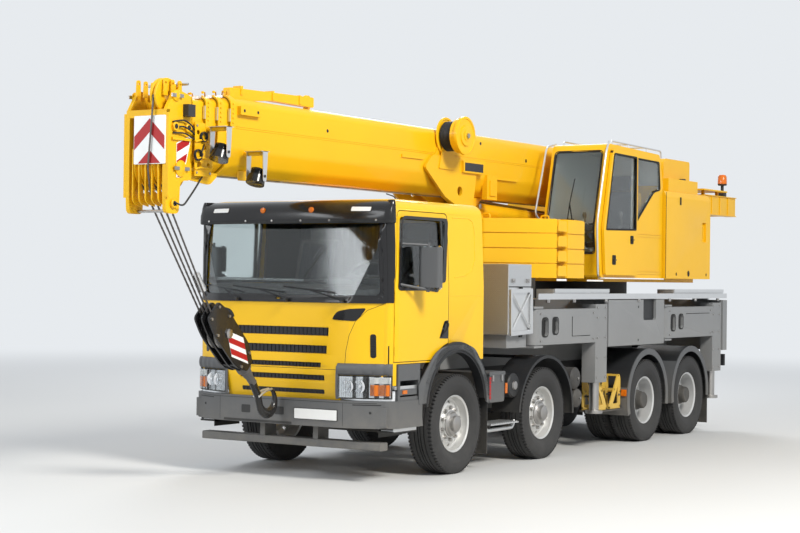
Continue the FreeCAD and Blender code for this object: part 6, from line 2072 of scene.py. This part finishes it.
crane_surface = tree_of("crane_cab", "crane_cab_glass", "machine_housing", "crane_door")
CRANE_CAB_FACE = 1.195
CRANE_SIDE_FACE = 1.24
REAR_PANE = ((4.39, 2.74, 0.03), (4.39, 3.57, 0.03), (5.09, 3.56, 0.04), (5.13, 3.195, 0.04),
    (4.93, 3.155, 0.04))
DOOR_PANE = ((3.435, 2.63, 0.03), (3.648, 3.58, 0.04), (4.31, 3.57, 0.03), (4.31, 2.65, 0.03))
FRONT_PANE = rectangle((0.49, 1.15), (2.34, 3.61), 0.06)
shape = bmesh.new()
seal(shape, REAR_PANE, (CRANE_CAB_FACE - 0.006, CRANE_CAB_FACE + 0.004), 0.022)
trim(shape, crane_surface, "front", FRONT_PANE, 0.004, 0.001, 0.06, 0, [narrowed(FRONT_PANE, 0.028)])
for low in (2.11, 2.58):
    block(shape, (1.194, 1.206), (3.52, 5.18), (low + 0.032, low + 0.04), 2)
hose(shape, [(0.98, 3.235, 2.4), (0.93, 3.19, 2.62), (0.86, 3.212, 2.95)], 0.009, 0.1, 6)
hose(shape, [(0.84, 3.19, 2.7), (0.86, 3.215, 2.95), (0.88, 3.31, 3.25)], 0.007, 0.1, 6)
close_piece(shape, "crane_cab_trim", "superstructure", [rubber, gloss_black, crane_yellow], smooth=35)

shape = bmesh.new()
hose(shape, [(1.18, 3.62, 3.72), (1.205, 3.5, 3.6), (1.205, 3.26, 2.7), (1.205, 3.3, 2.1),
    (1.18, 3.36, 2.08)], 0.013, 0.12, 8)
hose(shape, [(0.47, 3.6, 3.7), (0.44, 3.41, 3.66), (0.44, 3.12, 2.82), (0.47, 3.22, 2.74)], 0.012, 0.08, 8)
hose(shape, [(0.55, 3.64, 3.66), (0.55, 3.66, 3.735), (0.55, 5.3, 3.715), (0.55, 5.32, 3.62)], 0.011, 0.05,
    8)
hose(shape, [(1.12, 3.8, 3.66), (1.12, 3.82, 3.738), (1.12, 5.3, 3.715), (1.12, 5.32, 3.62)], 0.011, 0.05,
    8)
for station in (4.3, 4.85):
    for x in (0.55, 1.12):
        hose(shape, [(x, station, 3.64), (x, station, 3.73)], 0.009, 0, 6)
    hose(shape, [(0.55, station, 3.728), (1.12, station, 3.728)], 0.009, 0, 6)
close_piece(shape, "crane_cab_rails", "superstructure", aluminium, smooth=40)

shape = bmesh.new()
seal(shape, DOOR_PANE, (CRANE_SIDE_FACE - 0.004, CRANE_SIDE_FACE + 0.004), 0.022)
for front, back, low, high in ((3.618, 3.717, 2.217, 2.334), (4.133, 4.222, 2.48, 2.583)):
    outline = rectangle((front, back), (low, high), 0.02)
    side_plate(shape, outline, (CRANE_SIDE_FACE, CRANE_SIDE_FACE + 0.005))
    middle = (low + high) / 2
    hose(shape, [(1.245, front + 0.012, middle), (1.262, front + 0.02, middle), (1.262, back - 0.02,
        middle), (1.245, back - 0.012, middle)], 0.008, 0.01, 8, 1)
close_piece(shape, "crane_door_trim", "crane_door", [rubber, gloss_black], smooth=35)

# %% Crane seat and controls
shape = bmesh.new()
side_plate(shape, ((4.26, 2.45), (4.26, 2.53, 0.04), (4.74, 2.56, 0.03), (4.74, 2.45)), (0.6, 1.05))
side_plate(shape, ((4.64, 2.52, 0.03), (4.725, 2.52), (4.725, 3.16), (4.7, 3.17, 0.02), (4.66, 3.12, 0.05)),
    (0.61, 1.04))
side_plate(shape, ((4.66, 3.17, 0.02), (4.74, 3.17, 0.02), (4.76, 3.36, 0.03), (4.69, 3.37, 0.03)),
    (0.7, 0.95))
for x in (0.56, 1.055):
    side_plate(shape, ((4.15, 2.64, 0.02), (4.62, 2.66, 0.02), (4.62, 2.72, 0.02), (4.15, 2.71, 0.02)),
        (x, x + 0.045), 1)
    hose(shape, [(x + 0.022, 4.22, 2.7), (x + 0.022, 4.19, 2.82)], 0.012, 0, 8, 1)
    lathe(shape, [(2.8, 0.012), (2.82, 0.024), (2.86, 0.026), (2.885, 0.014), (2.89, 0.0)],
        spot(x + 0.022, 4.185, 0), "z", 12, 1)
block(shape, (0.53, 0.7), (3.62, 3.66), (2.6, 2.78), 1)
block(shape, (0.55, 0.68), (3.655, 3.662), (2.625, 2.755), 2)
hose(shape, [(0.6, 3.62, 2.62), (0.56, 3.66, 2.45), (0.52, 3.7, 2.15)], 0.015, 0.05, 8, 1)
for x in (0.74, 0.88):
    block(shape, (x, x + 0.09), (3.56, 3.68), (2.13, 2.15), 1)
close_piece(shape, "crane_cab_seat", "superstructure", [seat_cloth, dash_plastic, gloss_black], smooth=40,
    bevel=0.006)

# %% [markdown]
# ## Machine housing, tail and winch
# The housing covers pumps, tank and cooler. Two service doors with louvres are on its right side, more
# louvres are on its rear face, and caps sit on the roof. Behind it two arms carry the tail with its lamps
# and beacon, and between them sits the hoist winch with its rope.

# %% Housing details
HOUSING_FACE = 1.24
shape = bmesh.new()


def groove(points, paint=0, side=1):
    pipe(shape, [spot(side * (HOUSING_FACE + 0.0005), *p) for p in points], 0.003, 0, 5, paint)


groove(((5.222, 2.07), (5.222, 3.18)))
block(shape, (HOUSING_FACE, HOUSING_FACE + 0.006), (5.662, 5.704), (3.03, 3.13))
for station, z, size in ((5.564, 2.12, 0.022), (5.966, 2.13, 0.04), (6.575, 2.12, 0.02)):
    lathe(shape, [(HOUSING_FACE, size + 0.006), (HOUSING_FACE + 0.002, size + 0.006), (HOUSING_FACE + 0.002,
        size)], spot(0, station, z), "x", 16, 1, True)
    lathe(shape, [(HOUSING_FACE + 0.0005, size), (HOUSING_FACE + 0.001, 0.0)], spot(0, station, z), "x", 16)
hose(shape, [(1.22, 6.46, 2.6), (1.238, 6.47, 2.62), (1.238, 6.47, 2.76), (1.22, 6.46, 2.78)], 0.008, 0.02,
    8, 1)
# Louvres on the rear face
for k in range(14):
    z = 2.3 + 0.048 * k
    louvre = ((6.708, z), (6.724, z - 0.006), (6.724, z + 0.004), (6.708, z + 0.026))
    for side, sign in SIDES:
        side_plate(shape, louvre, (sign * 0.56, sign * 1.12), 1)
for front, back, low, high in ((5.05, 5.72, 2.25, 2.75), (5.85, 6.55, 2.25, 2.75)):
    groove(((front, low), (back, low), (back, high), (front, high), (front, low)), 0, -1)
    for k in range(9):
        z = low + 0.06 + 0.045 * k
        cross_plate(shape, ((-HOUSING_FACE - 0.01, z), (-HOUSING_FACE + 0.001, z - 0.004),
            (-HOUSING_FACE + 0.001, z + 0.022)), (front + 0.08, back - 0.08), 1)
# Caps on the roof
for x, station, z in ((0.62, 5.6, 3.372), (1.02, 6.25, 3.372), (-0.8, 5.6, 3.08), (-0.8, 6.3, 3.08)):
    lathe(shape, [(z, 0.045), (z + 0.03, 0.045), (z + 0.036, 0.038), (z + 0.036, 0.0)], spot(x, station, 0),
        "z", 20, 2)
close_piece(shape, "housing_details", "superstructure", [rubber, crane_yellow, black_plastic], smooth=35)

# %% Tail, beacon and winch
shape = bmesh.new()
for station in (7.2, 7.5, 7.8):
    block(shape, (1.05, 1.062), (station, station + 0.012), (2.975, 3.225))
block(shape, (0.915, 1.068), (6.96, 8.1), (3.225, 3.237))
block(shape, (0.915, 1.068), (6.96, 8.1), (2.962, 2.974))
block(shape, (0.6, 1.1), (6.83, 7.67), (3.29, 3.31))
for station in (7.05, 7.55):
    block(shape, (0.96, 1.0), (station, station + 0.04), (3.235, 3.292))
for x, paint in ((0.72, 2), (0.86, 3)):
    lathe(shape, [(0.0, 0.045), (0.018, 0.042), (0.022, 0.0)], spot(x, 8.1, 3.1), "y", 20, paint)
# Brackets of the winch
side_plate(shape, ((7.045, 2.92), (7.045, 3.21), (7.52, 3.27, 0.08), (7.6, 3.1, 0.08), (7.5, 2.94, 0.06)),
    (0.395, 0.42))
add_mirrored(shape)
for k in range(4):
    block(shape, (-1.0, 1.0), (8.102, 8.106), (2.99 + 0.06 * k, 3.0 + 0.06 * k))
close_piece(shape, "tail_details", "superstructure", [crane_yellow, black_plastic, red_glass, amber_glass],
    smooth=35, bevel=0.002)

shape = bmesh.new()
WINCH = spot(0, 7.33, 3.11)
lathe(shape, [(-0.392, 0.2), (-0.372, 0.2), (-0.372, 0.1), (0.372, 0.1), (0.372, 0.2), (0.392, 0.2),
    (0.392, 0.05), (-0.392, 0.05)], WINCH, "x", 40, 0, True)
coils = []
for k in range(36):
    middle = -0.361 + 0.0206 * k
    coils += [(middle - 0.009, 0.146), (middle - 0.004, 0.154), (middle + 0.004, 0.154),
        (middle + 0.009, 0.146)]
lathe(shape, [(-0.371, 0.1)] + coils + [(0.371, 0.1)], WINCH, "x", 36, 1, True)
lathe(shape, [(0.42, 0.12), (0.5, 0.12), (0.505, 0.1), (0.56, 0.09), (0.565, 0.0)], WINCH, "x", 28, 2)
pipe(shape, [WINCH + Vector((0.12, 0, 0.152)), spot(0.12, 6.99, 3.272)], 0.0085, 0, 8, 1)
close_piece(shape, "hoist_winch", "superstructure", [crane_yellow, rope_steel, frame_paint], smooth=35)

shape = bmesh.new()
lathe(shape, [(3.3, 0.022), (3.4, 0.022), (3.405, 0.06), (3.425, 0.066)], spot(0.95, 7.85, 0), "z", 20)
lathe(shape, [(3.425, 0.062), (3.43, 0.066), (3.53, 0.062), (3.555, 0.045), (3.562, 0.0)],
    spot(0.95, 7.85, 0), "z", 28, 1)
plan_plate(shape, (0.9, 1.0), (7.8, 7.9), (3.225, 3.305), 0.02)
close_piece(shape, "tail_beacon", "superstructure", [black_plastic, amber_glass], smooth=40)

# %% [markdown]
# ## Table, cylinder and ballast
# Caps cover the pivots of the boom and of the luffing cylinder, and upright plates stiffen the table. The
# cylinder's mouth has a gland ring, and two pipes lie on its back. The ballast lies on the deck in slabs,
# with lifting eyes on top and raised plates on the flanks.

# %% Table details
shape = bmesh.new()
lathe(shape, [(0.385, 0.11), (0.4, 0.11), (0.404, 0.09), (0.412, 0.05), (0.414, 0.0)], spot(0, 6.75, 3.42),
    "x", 32)
lathe(shape, [(0.385, 0.09), (0.396, 0.09), (0.399, 0.0)], spot(0, 5.2, 2.735), "x", 24)
side_plate(shape, ((4.76, 2.1), (4.86, 2.62, 0.02), (4.98, 2.68, 0.02), (4.9, 2.1)), (0.385, 0.397))
side_plate(shape, ((6.6, 2.1), (7.02, 3.28, 0.02), (7.1, 3.26, 0.02), (6.7, 2.1)), (0.385, 0.397))
add_mirrored(shape)
block(shape, (1.236, 1.2425), (2.94, 3.37), (2.012, 2.03), 1)
block(shape, (1.15, 1.236), (3.42, 5.18), (2.046, 2.06), 1)
close_piece(shape, "table_details", "superstructure", [crane_yellow, sign_white], smooth=35)

# %% Rings of the luffing cylinder
LUFF_FROM, LUFF_TO = Vector((0, 5.2, 2.735)), Vector((0, 1.95, 2.865))
along = (LUFF_TO - LUFF_FROM).normalized()
LUFF_LENGTH = (LUFF_TO - LUFF_FROM).length


def on_cylinder(shape, profile, paint):
    """Turned rings on the cylinder's own axis."""
    before = set(shape.verts)
    lathe(shape, profile, Vector((0, 0, 0)), "y", 36, paint, True)
    tilted(shape, before, math.atan2(along.z, along.y), spot(0, LUFF_FROM.y, LUFF_FROM.z))


shape = bmesh.new()
mouth = LUFF_LENGTH - 0.36
for low, high, radius in ((mouth - 0.1, mouth - 0.004, 0.104), (mouth - 0.004, mouth + 0.012, 0.088),
        (0.42, 0.46, 0.1), (1.55, 1.59, 0.1)):
    on_cylinder(shape, [(low, 0.0605), (low, radius - 0.003), (low + 0.003, radius), (high - 0.003, radius),
        (high, radius - 0.003), (high, 0.0605)], 0 if radius > 0.09 else 1)
for x in (-0.035, 0.035):
    first = spot(x, LUFF_FROM.y + along.y * 0.5, LUFF_FROM.z + along.z * 0.5 + 0.108)
    last = spot(x, LUFF_FROM.y + along.y * (mouth - 0.06), LUFF_FROM.z + along.z * (mouth - 0.06) + 0.112)
    pipe(shape, [first, last], 0.01, 0, 8, 1)
    pipe(shape, [first, first + Vector((0, 0.1, 0.02)), first + Vector((x, 0.22, -0.16))], 0.012, 0.06, 8,
        2)
close_piece(shape, "luff_barrel_rings", "luff_barrel", [crane_yellow, bare_steel, black_plastic], smooth=35)

# %% Ballast
shape = bmesh.new()
block(shape, (1.236, 1.2425), (2.16, 2.4), (2.012, 2.034), 1)
for x, station in ((0.45, 1.9), (0.85, 2.6)):
    hose(shape, [(x - 0.05, station, 2.722), (x - 0.05, station, 2.775), (x + 0.05, station, 2.775),
        (x + 0.05, station, 2.722)], 0.011, 0.03, 8)
for z in (2.045, 2.215, 2.387, 2.56):
    outline = ((2.17, z + 0.02, 0.02), (2.4, z + 0.02, 0.02), (2.385, z + 0.14, 0.02), (2.185, z + 0.14,
        0.02))
    side_plate(shape, outline, (1.239, 1.246))
add_mirrored(shape)
block(shape, (-0.5, 0.5), (1.6365, 1.6415), (2.3, 2.36), 2)
close_piece(shape, "ballast_fittings", "carrier", [crane_yellow, sign_white, rubber], smooth=35)

# %% [markdown]
# ## Inside the driver's cab
# Two cloth seats with ribs, head rests and belts, a steering wheel with a padded centre, an instrument
# hood, a grey dashboard and a rear wall with a curtain show through the glass.

# %% Cab interior details
shape = bmesh.new()
for middle in (0.62, -0.62):
    for k in range(5):
        x = middle - 0.2 + 0.08 * k
        side_plate(shape, ((-0.5, 1.8), (-0.48, 1.822, 0.01), (-0.06, 1.848, 0.02), (-0.04, 1.83)),
            (x + 0.004, x + 0.074))
        side_plate(shape, ((-0.045, 1.86), (-0.06, 1.88, 0.01), (0.068, 2.38, 0.02), (0.09, 2.4)),
            (x + 0.004, x + 0.074))
    hose(shape, [(middle + 0.2, 0.06, 2.42), (middle + 0.08, -0.02, 2.25), (middle - 0.14, -0.1, 1.92)],
        0.012, 0.1, 6, 1)
# Padded centre of the steering wheel
before = set(shape.verts)
lathe(shape, [(-0.018, 0.0), (-0.018, 0.055), (0.012, 0.06), (0.02, 0.045), (0.02, 0.0)], Vector((0, 0, 0)),
    "z", 20, 2)
tilted(shape, before, math.radians(-42), spot(0.62, -0.86, 2.022))
side_plate(shape, ((-1.15, 1.93, 0.02), (-1.02, 1.95, 0.02), (-0.99, 2.03, 0.03), (-1.14, 2.01, 0.03)),
    (0.36, 0.88), 2)
block(shape, (-0.22, 0.22), (-1.02, -0.985), (1.6, 1.82), 2)
block(shape, (-1.1, 1.1), (0.42, 0.43), (1.45, 2.62))
for k in range(26):
    x = -1.05 + 0.084 * k
    hose(shape, [(x, 0.405, 1.55), (x, 0.405, 2.6)], 0.017, 0, 6)
close_piece(shape, "cab_interior_details", "carrier", [seat_cloth, rubber, dash_plastic], smooth=40)
